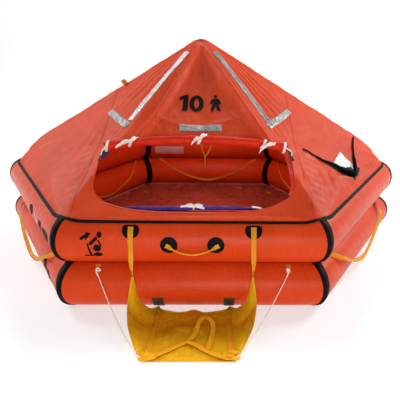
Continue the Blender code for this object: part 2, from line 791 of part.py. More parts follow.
clear_scene()
make_tubes()
make_corner_bands()
make_floor()
make_underside()
make_canopy()
make_seam_tape()
make_arch()
make_door()
make_front_patches()
make_handle()
make_boarding_straps()
make_ramp()
make_ramp_anchors()
make_ramp_cords()
make_lifelines()
make_canopy_fittings()
make_inside_label()
make_gas_cylinder()
make_topping_valve()
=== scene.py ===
# Inflatable life raft: its looks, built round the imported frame. Metres, +Z up, entrance towards -Y.
from math import asin, atan2, cos, pi, radians, sin, sqrt

import bmesh
import bpy
import numpy as np
from mathutils import Matrix, Vector


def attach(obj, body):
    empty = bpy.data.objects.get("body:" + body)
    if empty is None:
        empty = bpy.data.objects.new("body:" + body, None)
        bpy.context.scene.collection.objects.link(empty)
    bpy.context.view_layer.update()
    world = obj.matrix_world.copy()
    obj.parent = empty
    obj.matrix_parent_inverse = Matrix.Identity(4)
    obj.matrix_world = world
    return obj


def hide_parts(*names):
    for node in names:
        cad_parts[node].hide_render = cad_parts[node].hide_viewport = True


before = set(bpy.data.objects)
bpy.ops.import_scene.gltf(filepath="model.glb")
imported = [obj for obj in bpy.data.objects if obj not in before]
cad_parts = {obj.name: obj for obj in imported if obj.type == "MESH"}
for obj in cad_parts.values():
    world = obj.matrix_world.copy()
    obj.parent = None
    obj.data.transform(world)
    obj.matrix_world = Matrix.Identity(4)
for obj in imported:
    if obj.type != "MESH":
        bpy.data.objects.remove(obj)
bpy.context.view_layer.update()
print("frame loaded")

# The photograph's camera: tilts in radians, lens in millimetres on a 36 mm frame
photoView = {"place": (0.1731, -3.7578, 1.578), "yaw": 0.026, "pitch": 0.371, "roll": 0.016,
             "lens": 43.28, "shiftX": -0.0887, "shiftY": 0.0330}


def makeCamera():
    data = bpy.data.cameras.new("photoCamera")
    data.lens, data.sensor_width = photoView["lens"], 36
    data.shift_x, data.shift_y = photoView["shiftX"], photoView["shiftY"]
    camera = bpy.data.objects.new("photoCamera", data)
    bpy.context.scene.collection.objects.link(camera)
    yaw, pitch, roll = photoView["yaw"], photoView["pitch"], photoView["roll"]
    ahead = Vector((sin(yaw) * cos(pitch), cos(yaw) * cos(pitch), -sin(pitch)))
    level = Vector((cos(yaw), -sin(yaw), 0))
    up = level.cross(ahead)
    right = cos(roll) * level + sin(roll) * up
    over = -sin(roll) * level + cos(roll) * up
    camera.matrix_world = Matrix((right, over, -ahead)).transposed().to_4x4()
    camera.location = photoView["place"]
    bpy.context.scene.camera = camera


# The hull, as the frame has it
hull = {"side": 1.375, "radius": 0.150, "lowerCentre": 0.146, "upperCentre": 0.436, "contact": 0.291,
        "tapeGap": 0.0009}
apothem = hull["side"] * cos(pi / 6)
sideAngles = {"backRight": 30, "back": 90, "backLeft": 150, "frontLeft": 210, "front": 270, "frontRight": 330}


def sidePoint(sideName, along, outward, height):
    # a place beside the middle of a hull side; along runs anticlockwise from above
    angle = radians(sideAngles[sideName])
    reach, along, height = np.broadcast_arrays(apothem + np.asarray(outward, float), along, height)
    return np.stack([reach * cos(angle) - along * sin(angle), reach * sin(angle) + along * cos(angle), height], -1)


def ripples(points, size, seed, count=20):
    # soft uneven waves of about this size, with a spread of about one
    draw = np.random.default_rng(seed)
    total = 0
    for _ in range(count):
        direction = draw.normal(size=3)
        direction *= 2 * pi / (np.linalg.norm(direction) * size * draw.uniform(0.6, 1.7))
        total = total + np.sin(points @ direction + draw.uniform(0, 2 * pi))
    return total / sqrt(count / 2)


def smoothStep(value, low, high):
    share = np.clip((value - low) / (high - low), 0, 1)
    return share * share * (3 - 2 * share)


# Materials: one procedural recipe, and a dictionary of its settings for each finish
def finish(name, look):
    material = bpy.data.materials.new(name)
    material.use_nodes = True
    tree = material.node_tree
    shader = tree.nodes["Principled BSDF"]

    def put(kind, inputs=None, **settings):
        made = tree.nodes.new("ShaderNode" + kind)
        for key, value in settings.items():
            setattr(made, key, value)
        for socket, value in (inputs or {}).items():
            if isinstance(value, bpy.types.NodeSocket):
                tree.links.new(value, made.inputs[socket])
            else:
                made.inputs[socket].default_value = value
        return made

    def spread(value, low, high, least=0.3, most=0.7):
        return put("MapRange", {"Value": value, "From Min": least, "From Max": most,
                                "To Min": low, "To Max": high}).outputs[0]

    def mixed(share, first, second):
        node = put("Mix", data_type="RGBA")
        for index, value in ((0, share), (6, first), (7, second)):
            if isinstance(value, bpy.types.NodeSocket):
                tree.links.new(value, node.inputs[index])
            else:
                node.inputs[index].default_value = value if index == 0 else (*value, 1)
        return node.outputs[2]

    place = put("TexCoord").outputs["UV" if look.get("onUv", True) else "Object"]
    solid = put("TexCoord").outputs["Object"]
    cloud = put("TexNoise", {"Vector": solid, "Scale": look.get("patch", 4), "Detail": 4}).outputs[0]
    colour = mixed(spread(cloud, 0, 1), look["dark"], look["light"])
    if "streak" in look:
        stretched = put("Mapping", {"Vector": place, "Scale": look["streakScale"]}).outputs[0]
        streak = put("TexNoise", {"Vector": stretched, "Scale": 1, "Detail": 3}).outputs[0]
        colour = mixed(spread(streak, 0, look["streakShare"], 0.4, 0.75), colour, look["streak"])
    if "grime" in look:
        speck = put("TexNoise", {"Vector": solid, "Scale": look.get("grimeScale", 22), "Detail": 6,
                                 "Roughness": 0.7}).outputs[0]
        colour = mixed(spread(speck, 0, look.get("grimeShare", 0.3), 0.55, 0.75), colour, look["grime"])
    tree.links.new(colour, shader.inputs["Base Color"])
    fine = put("TexNoise", {"Vector": solid, "Scale": look.get("patch", 4) * 5, "Detail": 3}).outputs[0]
    rough, roughSpread = look["rough"]
    tree.links.new(spread(fine, rough - roughSpread, rough + roughSpread), shader.inputs["Roughness"])
    normal = None
    if "crease" in look:
        scale, depth = look["crease"]
        fold = put("TexNoise", {"Vector": solid, "Scale": scale, "Detail": 2, "Distortion": 1.2}).outputs[0]
        ridge = put("Math", {0: put("Math", {0: fold, 1: 0.5}, operation="SUBTRACT").outputs[0]},
                    operation="ABSOLUTE").outputs[0]
        height = spread(ridge, 0, 1, 0, 0.2)
        normal = put("Bump", {"Height": height, "Distance": depth, "Strength": 1}).outputs[0]
    if "weave" in look:
        pitch, depth = look["weave"]
        threads = [put("TexWave", {"Vector": place, "Scale": 0.314 / pitch}, bands_direction=axis).outputs[1]
                   for axis in ("X", "Y")]
        height = put("Math", {0: threads[0], 1: threads[1]}, operation="MULTIPLY").outputs[0]
        inputs = {"Height": height, "Distance": depth, "Strength": 1}
        if normal is not None:
            inputs["Normal"] = normal
        normal = put("Bump", inputs).outputs[0]
    if normal is not None:
        tree.links.new(normal, shader.inputs["Normal"])
    for socket, key in (("Metallic", "metal"), ("Coat Weight", "coat"), ("Coat Roughness", "coatRough"),
                        ("Sheen Weight", "sheen"), ("Sheen Roughness", "sheenRough"), ("IOR", "ior"),
                        ("Specular IOR Level", "specular")):
        if key in look:
            shader.inputs[socket].default_value = look[key]
    if "glow" in look:
        shader.inputs["Emission Color"].default_value = (1, 1, 1, 1)
        shader.inputs["Emission Strength"].default_value = look["glow"]
    return material


tubeLook = {"light": (0.65, 0.056, 0.007), "dark": (0.56, 0.043, 0.006), "patch": 3.0, "rough": (0.35, 0.05),
            "streak": (0.52, 0.024, 0.003), "streakShare": 0.35, "streakScale": (80, 5, 1),
            "grime": (0.50, 0.05, 0.02), "grimeShare": 0.18, "crease": (7, 0.0010), "weave": (0.0012, 0.00006),
            "coat": 0, "coatRough": 0.34, "sheen": 0, "sheenRough": 0.4, "specular": 0.12}
canopyLook = {"light": (0.65, 0.068, 0.02), "dark": (0.52, 0.048, 0.013), "patch": 2.4, "rough": (0.46, 0.06),
              "streak": (0.46, 0.034, 0.011), "streakShare": 0.40, "streakScale": (60, 4, 1),
              "grime": (0.66, 0.12, 0.06), "grimeShare": 0.15, "crease": (5, 0.0016), "weave": (0.0012, 0.00006),
              "coat": 0, "coatRough": 0.35, "sheen": 0, "sheenRough": 0.35, "specular": 0.07}
doorLook = {"light": (0.7, 0.025, 0.006), "dark": (0.56, 0.017, 0.004), "patch": 9, "rough": (0.42, 0.06),
            "crease": (16, 0.0025), "weave": (0.0012, 0.00006), "sheen": 0, "sheenRough": 0.4, "specular": 0.14}
rubberLook = {"light": (0.007, 0.006, 0.006), "dark": (0.003, 0.003, 0.003), "patch": 14, "rough": (0.62, 0.08),
              "grime": (0.025, 0.020, 0.017), "grimeShare": 0.20, "onUv": False, "crease": (60, 0.0004),
              "specular": 0.06}
anchorLook = {"light": (0.060, 0.040, 0.026), "dark": (0.030, 0.020, 0.013), "patch": 20, "rough": (0.6, 0.08),
              "grime": (0.10, 0.07, 0.05), "grimeShare": 0.4, "onUv": False, "crease": (50, 0.0006), "specular": 0.3}
webbingLook = {"light": (0.76, 0.31, 0.011), "dark": (0.64, 0.23, 0.007), "patch": 11, "rough": (0.62, 0.06),
               "streak": (0.50, 0.15, 0.005), "streakShare": 0.40, "streakScale": (300, 14, 1),
               "weave": (0.0024, 0.00035), "sheen": 0, "sheenRough": 0.5, "specular": 0.14}
rampLook = {"light": (0.8, 0.44, 0.007), "dark": (0.7, 0.35, 0.005), "patch": 6, "rough": (0.55, 0.06),
            "streak": (0.52, 0.20, 0.004), "streakShare": 0.40, "streakScale": (50, 12, 1),
            "crease": (13, 0.0016), "weave": (0.0016, 0.00016), "sheen": 0, "sheenRough": 0.5, "specular": 0.12}
rampWebLook = {"light": (0.84, 0.41, 0.01), "dark": (0.74, 0.34, 0.007), "patch": 11, "rough": (0.60, 0.06),
               "streak": (0.56, 0.22, 0.006), "streakShare": 0.4, "streakScale": (300, 14, 1),
               "weave": (0.0024, 0.00035), "sheen": 0, "sheenRough": 0.5, "specular": 0.12}
blackWebLook = {**webbingLook, "light": (0.020, 0.019, 0.019), "dark": (0.010, 0.010, 0.010),
                "streak": (0.006, 0.006, 0.006)}
cordLook = {"light": (0.94, 0.86, 0.82), "dark": (0.74, 0.60, 0.55), "patch": 30, "rough": (0.7, 0.06),
            "weave": (0.0022, 0.00035), "sheen": 0.3, "sheenRough": 0.5}
floorLook = {"light": (0.43, 0.09, 0.054), "dark": (0.31, 0.056, 0.034), "patch": 2.5, "rough": (0.26, 0.07),
             "streak": (0.25, 0.042, 0.025), "streakShare": 0.5, "streakScale": (60, 6, 1),
             "grime": (0.42, 0.12, 0.08), "grimeShare": 0.12, "grimeScale": 6, "crease": (5, 0.0026), "weave": (0.002, 0.0001),
             "coat": 0.35, "coatRough": 0.14, "specular": 0.4}
liningLook = {"light": (0.060, 0.040, 0.34), "dark": (0.030, 0.018, 0.17), "patch": 12, "rough": (0.5, 0.06),
              "crease": (22, 0.002), "weave": (0.0014, 0.0001), "sheen": 0.04, "sheenRough": 0.4, "specular": 0.12}
silverLook = {"light": (0.4, 0.39, 0.38), "dark": (0.17, 0.168, 0.165), "patch": 14, "rough": (0.34, 0.08),
              "metal": 0.15, "crease": (26, 0.002), "weave": (0.003, 0.00008), "coat": 0.12, "coatRough": 0.14, "specular": 0.4}
# a brighter copy of the silver tape, used on the left-hand tape only: painted reflection of light on that tape
paintedGlintSilverLook = {**silverLook, "light": (0.90, 0.89, 0.87), "dark": (0.56, 0.54, 0.52), "metal": 0.1}
threadLook = {"light": (0.46, 0.040, 0.016), "dark": (0.34, 0.026, 0.010), "patch": 18, "rough": (0.6, 0.06),
              "crease": (40, 0.0003)}
inkLook = {"light": (0.008, 0.007, 0.007), "dark": (0.003, 0.003, 0.003), "patch": 20, "rough": (0.65, 0.06),
           "crease": (14, 0.001), "specular": 0.05}
tagLook = {"light": (0.80, 0.79, 0.77), "dark": (0.60, 0.59, 0.58), "patch": 25, "rough": (0.55, 0.05),
           "crease": (30, 0.0018), "weave": (0.0016, 0.0001)}
labelLook = {"light": (0.66, 0.36, 0.34), "dark": (0.52, 0.25, 0.24), "patch": 12, "rough": (0.42, 0.06),
             "crease": (14, 0.001)}
paintLook = {"light": (0.36, 0.38, 0.40), "dark": (0.27, 0.29, 0.31), "patch": 8, "rough": (0.36, 0.06),
             "grime": (0.12, 0.11, 0.10), "grimeShare": 0.4, "onUv": False, "crease": (70, 0.0002)}
brassLook = {"light": (0.62, 0.46, 0.18), "dark": (0.40, 0.28, 0.10), "patch": 20, "rough": (0.34, 0.08),
             "metal": 1.0, "grime": (0.16, 0.12, 0.06), "grimeShare": 0.5, "onUv": False}
toggleLook = {"light": (0.045, 0.022, 0.016), "dark": (0.018, 0.009, 0.007), "patch": 40, "rough": (0.4, 0.08),
              "crease": (80, 0.0005)}
# pale pink edging: painted reflection in the strips along the floor's back edges; also the door's piping
edgeLook = {"light": (0.80, 0.55, 0.46), "dark": (0.70, 0.33, 0.24), "patch": 18, "rough": (0.6, 0.06),
            "weave": (0.0016, 0.0001)}
finishes = {"tubeFabric": tubeLook, "canopyFabric": canopyLook, "doorFabric": doorLook, "blackRubber": rubberLook,
            "yellowWebbing": webbingLook, "rampFabric": rampLook, "whiteCord": cordLook, "floorFabric": floorLook,
            "liningFabric": liningLook, "silverTape": silverLook, "printInk": inkLook, "blankTag": tagLook,
            "blankLabel": labelLook, "cylinderPaint": paintLook, "valveBrass": brassLook,
            "toggleBrown": toggleLook, "paleEdge": edgeLook,
            "silverTapePaintedGlint": paintedGlintSilverLook, "seamThread": threadLook, "anchorRubber": anchorLook,
            "rampWebbing": rampWebLook, "blackWebbing": blackWebLook}
materials = {name: finish(name, look) for name, look in finishes.items()}
print("materials made")


# Mesh makers
def place(name, points, faces, finishName, loopUv=None, recalculate=False, riding=True):
    mesh = bpy.data.meshes.new(name)
    mesh.from_pydata(np.asarray(points)[:, :3].tolist(), [], faces if isinstance(faces, list) else faces.tolist())
    if loopUv is None:
        index = np.zeros(len(mesh.loops), int)
        mesh.loops.foreach_get("vertex_index", index)
        columns = np.asarray(points)
        loopUv = columns[index][:, 3:5] if columns.shape[1] == 5 else columns[index][:, :2]
    mesh.uv_layers.new(name="uv").data.foreach_set("uv", np.asarray(loopUv, np.float32).ravel())
    if recalculate:
        work = bmesh.new()
        work.from_mesh(mesh)
        bmesh.ops.recalc_face_normals(work, faces=work.faces)
        work.to_mesh(mesh)
        work.free()
    mesh.shade_smooth()
    piece = bpy.data.objects.new(name, mesh)
    bpy.context.scene.collection.objects.link(piece)
    piece.data.materials.append(materials[finishName])
    if riding:
        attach(piece, "root")
    return piece


def gridQuads(rows, columns, loopRows=False, loopColumns=False):
    i, j = np.meshgrid(np.arange(rows if loopRows else rows - 1), np.arange(columns if loopColumns else columns - 1),
                       indexing="ij")
    i, j = i.ravel(), j.ravel()
    below, beside = (i + 1) % rows, (j + 1) % columns
    quads = np.stack([i * columns + j, below * columns + j, below * columns + beside, i * columns + beside], 1)
    corners = np.stack([i, j, i + 1, j, i + 1, j + 1, i, j + 1], 1).reshape(-1, 4, 2)
    return quads, corners


def gridPiece(name, points, finishName, uv, loopRows=False, loopColumns=False, capped=False, recalculate=True):
    # points is rows by columns by 3; uv has one row or column more where that way is closed
    rows, columns = points.shape[:2]
    quads, corners = gridQuads(rows, columns, loopRows, loopColumns)
    loopUv = uv[corners[..., 0], corners[..., 1]].reshape(-1, 2)
    faces = quads.tolist()
    if capped:
        faces += [list(range(columns)), list(range((rows - 1) * columns, rows * columns))]
        loopUv = np.vstack([loopUv, uv[0, :columns], uv[rows - 1, :columns]])
    return place(name, points.reshape(-1, 3), faces, finishName, loopUv, recalculate)


def clipGrid(points, keep, quads):
    # the part of a grid where keep is above nothing, cut cleanly along its edge
    share = keep.ravel()
    inside = share[quads] > 0
    faces = quads[inside.all(1)].tolist()
    extra, cut = [], {}
    for quad in quads[inside.any(1) & ~inside.all(1)]:
        ring = []
        for a, b in zip(quad, np.roll(quad, -1)):
            if share[a] > 0:
                ring.append(int(a))
            if (share[a] > 0) != (share[b] > 0):
                key = (min(a, b), max(a, b))
                if key not in cut:
                    cut[key] = len(points) + len(extra)
                    extra.append(points[a] + (points[b] - points[a]) * (share[a] / (share[a] - share[b])))
                ring.append(cut[key])
        faces.append(ring)
    everything = np.vstack([points, extra]) if extra else points
    used = sorted({i for face in faces for i in face})
    number = {old: new for new, old in enumerate(used)}
    return everything[used], [[number[i] for i in face] for face in faces]


def smoothPath(points, spacing=0.006, closed=False):
    # a Catmull-Rom curve through the points, in even steps
    p = np.asarray(points, float)
    p = np.vstack([p[-1], p, p[0], p[1]]) if closed else np.vstack([2 * p[0] - p[1], p, 2 * p[-1] - p[-2]])
    t = np.linspace(0, 1, 24, endpoint=False)[:, None]
    runs = [0.5 * (2 * b + (c - a) * t + (2 * a - 5 * b + 4 * c - d) * t ** 2 + (3 * b - a - 3 * c + d) * t ** 3)
            for a, b, c, d in zip(p, p[1:], p[2:], p[3:])]
    fine = np.vstack(runs + [p[-2][None]])
    length = np.concatenate([[0], np.cumsum(np.linalg.norm(np.diff(fine, axis=0), axis=1))])
    count = max(3, int(length[-1] / spacing) + 1)
    places = np.linspace(0, length[-1], count + 1)
    made = np.stack([np.interp(places, length, fine[:, k]) for k in range(3)], 1)
    return made[:-1] if closed else made


def unit(vectors):
    vectors = np.asarray(vectors, float)
    return vectors / np.maximum(np.linalg.norm(vectors, axis=-1, keepdims=True), 1e-12)


def roundSection(radius, sides=12):
    turn = np.linspace(0, 2 * pi, sides, endpoint=False)
    return np.stack([radius * np.cos(turn), radius * np.sin(turn)], 1)


def bandSection(width, thickness):
    w, t = width / 2, thickness / 2
    return np.array([(-w, 0), (-w + t, t), (-w / 2, t), (0, t), (w / 2, t), (w - t, t), (w, 0), (w - t, -t),
                     (w / 2, -t), (0, -t), (-w / 2, -t), (-w + t, -t)])


def sweep(name, path, section, finishName, across=None, scale=1.0, twist=0.0, closed=False, strands=None,
          build=True):
    # a section carried along a path; across holds the direction of its first axis
    path = np.asarray(path, float)
    count = len(path)
    ahead = unit(np.roll(path, -1, 0) - np.roll(path, 1, 0) if closed else np.gradient(path, axis=0))
    if across is None:
        first = np.cross(ahead[0], (0, 0, 1) if abs(ahead[0][2]) < 0.9 else (1, 0, 0))
        sideways = [unit(first)]
        for direction in ahead[1:]:
            sideways.append(unit(sideways[-1] - direction * np.dot(sideways[-1], direction)))
        sideways = np.array(sideways)
    else:
        sideways = np.broadcast_to(np.asarray(across, float), path.shape)
        sideways = unit(sideways - ahead * np.sum(sideways * ahead, 1)[:, None])
    over = np.cross(sideways, ahead)
    turn = np.broadcast_to(np.asarray(twist, float), count)[:, None]
    wide = sideways * np.cos(turn) + over * np.sin(turn)
    high = over * np.cos(turn) - sideways * np.sin(turn)
    size = np.broadcast_to(np.asarray(scale, float).reshape(-1, 1) if np.ndim(scale) == 1 else scale, (count, 2))
    outline = np.broadcast_to(section, (count,) + section.shape)
    length = np.concatenate([[0], np.cumsum(np.linalg.norm(np.diff(path, axis=0), axis=1))])
    if strands is not None:
        number, pitch, depth = strands
        angle = np.linspace(0, 2 * pi, len(section), endpoint=False)
        outline = outline * (1 + depth * np.cos(number * (angle[None] - 2 * pi * length[:, None] / pitch)))[..., None]
    points = (path[:, None] + wide[:, None] * (outline[..., :1] * size[:, None, :1])
              + high[:, None] * (outline[..., 1:] * size[:, None, 1:]))
    around = np.concatenate([[0], np.cumsum(np.linalg.norm(np.roll(section, -1, 0) - section, axis=1))])
    if closed:
        length = np.append(length, length[-1] + np.linalg.norm(path[0] - path[-1]))
    uv = np.stack(np.broadcast_arrays(around[None], length[:, None]), -1)
    if not build:
        return points, uv
    return gridPiece(name, points, finishName, uv, loopRows=closed, loopColumns=True, capped=not closed)


def joined(name, pieces):
    # several meshes of one finish made into one piece
    keep = pieces[0]
    with bpy.context.temp_override(active_object=keep, selected_editable_objects=pieces):
        bpy.ops.object.join()
    keep.name = name
    return keep


def circle(u, v, cu, cv, radius):
    return radius - np.hypot(u - cu, v - cv)


def capsule(u, v, start, end, radius):
    su, sv = start
    du, dv = end[0] - su, end[1] - sv
    share = np.clip(((u - su) * du + (v - sv) * dv) / (du * du + dv * dv), 0, 1)
    return radius - np.hypot(u - su - du * share, v - sv - dv * share)


def slab(u, v, low, high):
    return np.minimum(np.minimum(u - low[0], high[0] - u), np.minimum(v - low[1], high[1] - v))


# Tubes: fabric cylinders mitred at six corners, puckered where the seams are taped
tubes = {"segments": 54, "around": 96, "pucker": 0.0016, "puckerReach": 0.07, "slack": 0.0005}


def tubeSkin(name, nodeName, centre, lowFlat, highFlat, seed):
    radius = hull["radius"]
    theta = np.linspace(0, 2 * pi, tubes["around"], endpoint=False)
    ends = np.linspace(-1, 1, tubes["segments"], endpoint=False)
    share = np.sign(ends) * (1 - (1 - np.abs(ends)) ** 1.35)
    rows, lengths = [], []
    for index, sideName in enumerate(("frontRight", "backRight", "back", "backLeft", "frontLeft", "front")):
        for tau in share:
            reach = radius * np.cos(theta)
            along = tau * (apothem + reach) * np.tan(pi / 6)
            toSeam = hull["side"] / 2 * (1 - abs(tau))
            folds = tubes["pucker"] * np.exp(-toSeam / tubes["puckerReach"]) * (
                0.5 + 0.5 * np.sin(17 * theta + 5 * np.sin(3 * theta + index) + 40 * toSeam))
            inner = 0.35 + 0.65 * smoothStep(-np.cos(theta), -0.2, 0.8)
            soft = radius - folds * inner - 0.0003
            height = centre + soft * np.sin(theta)
            height = np.clip(height, lowFlat, highFlat)
            rows.append(sidePoint(sideName, along, soft * np.cos(theta), height))
            lengths.append(index * hull["side"] + tau * hull["side"] / 2)
    points = np.array(rows)
    outward = unit(points - np.stack([points[..., 0], points[..., 1], np.full(points.shape[:2], centre)], -1)
                   + 1e-9)
    swell = -tubes["slack"] * (1 + ripples(points, 0.22, seed)) * 0.5
    points[..., 2] += outward[..., 2] * swell * (np.abs(points[..., 2] - centre) < 0.13)
    along = np.append(lengths, lengths[0] + 6 * hull["side"])
    uv = np.stack(np.broadcast_arrays(along[:, None], radius * np.append(theta, 2 * pi)[None]), -1)
    piece = gridPiece(name, points, "tubeFabric", uv, loopRows=True, loopColumns=True)
    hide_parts(nodeName)
    return piece


def makeTubes():
    gap = hull["tapeGap"]
    lower = tubeSkin("lowerTubeSkin", "lower_tube", hull["lowerCentre"], 0.0, hull["contact"] - gap, 3)
    upper = tubeSkin("upperTubeSkin", "upper_tube", hull["upperCentre"], hull["contact"] + gap, 2.0, 5)


# Canopy: one sheet from the crown to the tape, pulled into folds
canopy = {"crown": 1.487, "crownHalf": 0.036, "elbowReach": 1.285, "elbowHeight": 0.742, "edgeAngle": 57.3,
          "skin": 0.0035, "ridgeSoftness": 0.008, "sag": 0.015, "recess": 0.032, "fold": 1.3, "columns": 116, "rows": 122,
          "seamX": 0.645, "seamFootX": 0.715}
door = {"halfWidth": 0.592, "middle": 0.735, "top": 0.915, "sill": 0.588, "topPower": 5, "sillPower": 3}
edgeOut = (hull["radius"] + canopy["skin"]) * cos(radians(canopy["edgeAngle"]))
edgeHeight = hull["upperCentre"] + (hull["radius"] + canopy["skin"]) * sin(radians(canopy["edgeAngle"]))
cornerReach = hull["side"] + edgeOut / cos(pi / 6)
canopyCorners = {name: np.array([cornerReach * cos(radians(a)), cornerReach * sin(radians(a)), edgeHeight])
                 for name, a in (("right", 0), ("backRight", 60), ("backLeft", 120), ("left", 180),
                                 ("frontLeft", 240), ("frontRight", 300))}
for hand, sign in (("Left", -1), ("Right", 1)):
    canopyCorners["crown" + hand] = np.array([sign * canopy["crownHalf"], 0, canopy["crown"]])
    canopyCorners["elbow" + hand] = np.array([sign * canopy["elbowReach"], 0, canopy["elbowHeight"]])
canopyFaces = [("crownLeft", "frontLeft", "frontRight"), ("crownLeft", "backLeft", "backRight")]
for fore in ("front", "back"):
    for hand, tip in (("Left", "left"), ("Right", "right")):
        canopyFaces += [("crown" + hand, "elbow" + hand, fore + hand), ("elbow" + hand, tip, fore + hand)]
canopyPlanes = []
for trio in canopyFaces:
    a, b, c = (canopyCorners[corner] for corner in trio)
    normal = np.cross(b - a, c - a)
    canopyPlanes.append((normal / normal[2], np.dot(normal, a) / normal[2]))

taping = {"half": 0.034, "shift": 0.011, "lift": 0.0017, "edgeLow": 50.4, "edgeHigh": 57.6, "cornerRadius": 0.22,
          "edgeLift": 0.0046}

# Folds as (start, end, half width, height), in metres across and along
pulls = [((0.01, -0.06), (0.452, -0.80), 0.018, 0.021), ((-0.01, -0.06), (-0.380, -0.88), 0.018, 0.021),
         ((0.02, -0.10), (0.28, -0.58), 0.018, 0.007), ((0.0, -0.10), (0.06, -0.42), 0.018, 0.005),
         ((-0.01, -0.10), (-0.07, -0.42), 0.018, 0.005), ((-0.02, -0.10), (-0.24, -0.62), 0.014, 0.006),
         ((0.12, -0.07), (0.555, -0.68), 0.011, 0.008), ((0.15, -0.06), (0.590, -0.60), 0.010, 0.007),
         ((0.18, -0.06), (0.610, -0.50), 0.010, 0.007), ((0.22, -0.05), (0.625, -0.40), 0.010, 0.006),
         ((0.26, -0.04), (0.640, -0.28), 0.010, 0.005), ((0.30, -0.30), (0.60, -0.66), 0.009, 0.005),
         ((-0.12, -0.07), (-0.52, -0.72), 0.012, 0.007), ((-0.15, -0.06), (-0.56, -0.60), 0.011, 0.006),
         ((-0.20, -0.05), (-0.60, -0.42), 0.011, 0.006), ((-0.24, -0.04), (-0.62, -0.30), 0.011, 0.005),
         ((-0.30, -0.62), (-0.10, -0.66), 0.014, 0.005), ((0.05, -0.66), (0.32, -0.60), 0.014, 0.005),
         ((0.30, -0.58), (0.50, -0.86), 0.016, 0.010), ((-0.27, -0.60), (-0.46, -0.90), 0.016, 0.010),
         ((0.20, -0.55), (0.34, -0.74), 0.013, 0.007), ((-0.16, -0.56), (-0.30, -0.76), 0.013, 0.007),
         ((1.06, -0.70), (1.38, -0.16), 0.014, 0.016), ((1.00, -0.72), (1.24, -0.42), 0.014, 0.016),
         ((0.93, -0.72), (1.12, -0.62), 0.014, 0.013), ((0.96, -0.78), (1.08, -0.74), 0.014, 0.011),
         ((1.18, -0.36), (1.41, -0.06), 0.014, 0.015), ((0.86, -0.80), (0.98, -0.86), 0.014, 0.010),
         ((1.20, -0.20), (1.42, -0.02), 0.014, 0.012), ((1.14, -0.56), (1.31, -0.28), 0.013, 0.014),
         ((0.86, -0.68), (0.90, -0.96), 0.018, 0.007), ((0.78, -0.70), (0.86, -1.02), 0.020, 0.006),
         ((-1.02, -0.20), (-1.30, -0.16), 0.02, 0.004), ((-0.98, -0.32), (-1.24, -0.34), 0.02, 0.004),
         ((-0.50, -1.262), (-0.16, -1.268), 0.012, 0.004), ((0.10, -1.266), (0.48, -1.260), 0.012, 0.004),
         ((-0.60, -0.92), (-0.70, -1.22), 0.034, 0.011), ((-0.60, -1.04), (-0.58, -1.24), 0.022, 0.005),
         ((0.60, -0.92), (0.70, -1.22), 0.030, 0.010), ((0.62, -1.00), (0.60, -1.24), 0.022, 0.005),
         ((-0.64, -0.78), (-0.80, -1.06), 0.024, 0.006), ((0.64, -0.80), (0.76, -1.10), 0.022, 0.005),
         ((-0.70, -0.30), (-0.95, -0.86), 0.030, 0.006), ((-0.68, -0.40), (-0.80, -0.90), 0.024, 0.005)]
for step in range(9):  # puckers beside the sewn seams
    for hand in (-1, 1):
        y = -0.62 - 0.065 * step
        pulls.append(((hand * 0.675, y), (hand * (0.77 + 0.02 * (step % 3)), y + 0.015), 0.011, 0.0045))
for step in range(7):  # and the same pulls behind
    x = -0.42 + 0.14 * step
    pulls.append(((0.1 * x, 0.08), (x, 0.62 + 0.05 * (step % 2)), 0.015, 0.006))


def insideHem(x, y, radius, away):
    # how far inside a hexagon with rounded corners, this far from the middle of its sides
    angle, reach = np.arctan2(y, x), np.hypot(x, y)
    turn = (angle + pi / 6) % (pi / 3) - pi / 6
    ahead, beside = reach * np.cos(turn) - (away - radius) / cos(pi / 6), np.abs(reach * np.sin(turn))
    flat = (ahead + (away - radius) / cos(pi / 6)) * cos(pi / 6) + beside / 2 - (away - radius)
    return radius - np.where(beside <= ahead * np.tan(pi / 6), np.hypot(ahead, beside), flat)


def canopyHeight(x, y):
    x, y = np.broadcast_arrays(np.asarray(x, float), np.asarray(y, float))
    heights = np.sort(np.array([offset - normal[0] * x - normal[1] * y for normal, offset in canopyPlanes]), 0)
    low, gap = heights[0], heights[1] - heights[0]
    edge = np.min([cornerReach * cos(pi / 6) - x * cos(radians(a)) - y * sin(radians(a))
                   for a in sideAngles.values()], 0)
    free = smoothStep(edge, 0.0, 0.16)
    softness = canopy["ridgeSoftness"]
    height = low - free * softness * np.log(np.exp(-(heights - low) / softness).sum(0))
    height = height - free * canopy["sag"] * (1 - np.exp(-gap / 0.05))
    inside = np.minimum(-0.862 * x - 0.506 * (y + 0.03), 0.913 * x - 0.408 * (y + 0.03))
    deep = smoothStep(-y, 0.06, 0.25) * (1 - 0.65 * smoothStep(-y, 0.50, 0.74)) * smoothStep(-y, -1, 0)
    height = height - canopy["recess"] * deep * (1 - np.exp(-np.maximum(inside, 0) / 0.05))
    height = height + 0.004 * np.exp(-(x * x + y * y) / 0.006)
    rise = np.zeros_like(height)
    for start, end, width, lift in pulls:
        du, dv = end[0] - start[0], end[1] - start[1]
        share = np.clip(((x - start[0]) * du + (y - start[1]) * dv) / (du * du + dv * dv), 0, 1)
        away = np.hypot(x - start[0] - du * share, y - start[1] - dv * share)
        rise = rise + canopy["fold"] * lift * np.exp(-(away / width) ** 2) * (0.25 + 0.75 * np.sin(pi * share) ** 0.7)
    flat = np.stack([x, y, np.zeros_like(x)], -1)
    rise = rise + 0.0012 * ripples(flat, 0.18, 11) + 0.0007 * ripples(flat, 0.05, 12)
    height = height + rise * smoothStep(edge, 0.0, 0.05)
    hem = insideHem(x, y, taping["cornerRadius"], apothem + edgeOut)
    beyond = np.clip(edgeOut - edge, -0.14, edgeOut)
    tube = hull["upperCentre"] + np.sqrt((hull["radius"] + 0.0024) ** 2 - beyond ** 2)
    pull = smoothStep(edge - hem, 0.0, 0.022) * (1 - smoothStep(hem, 0.0, 0.09))
    return height - pull * np.maximum(height - tube, 0)


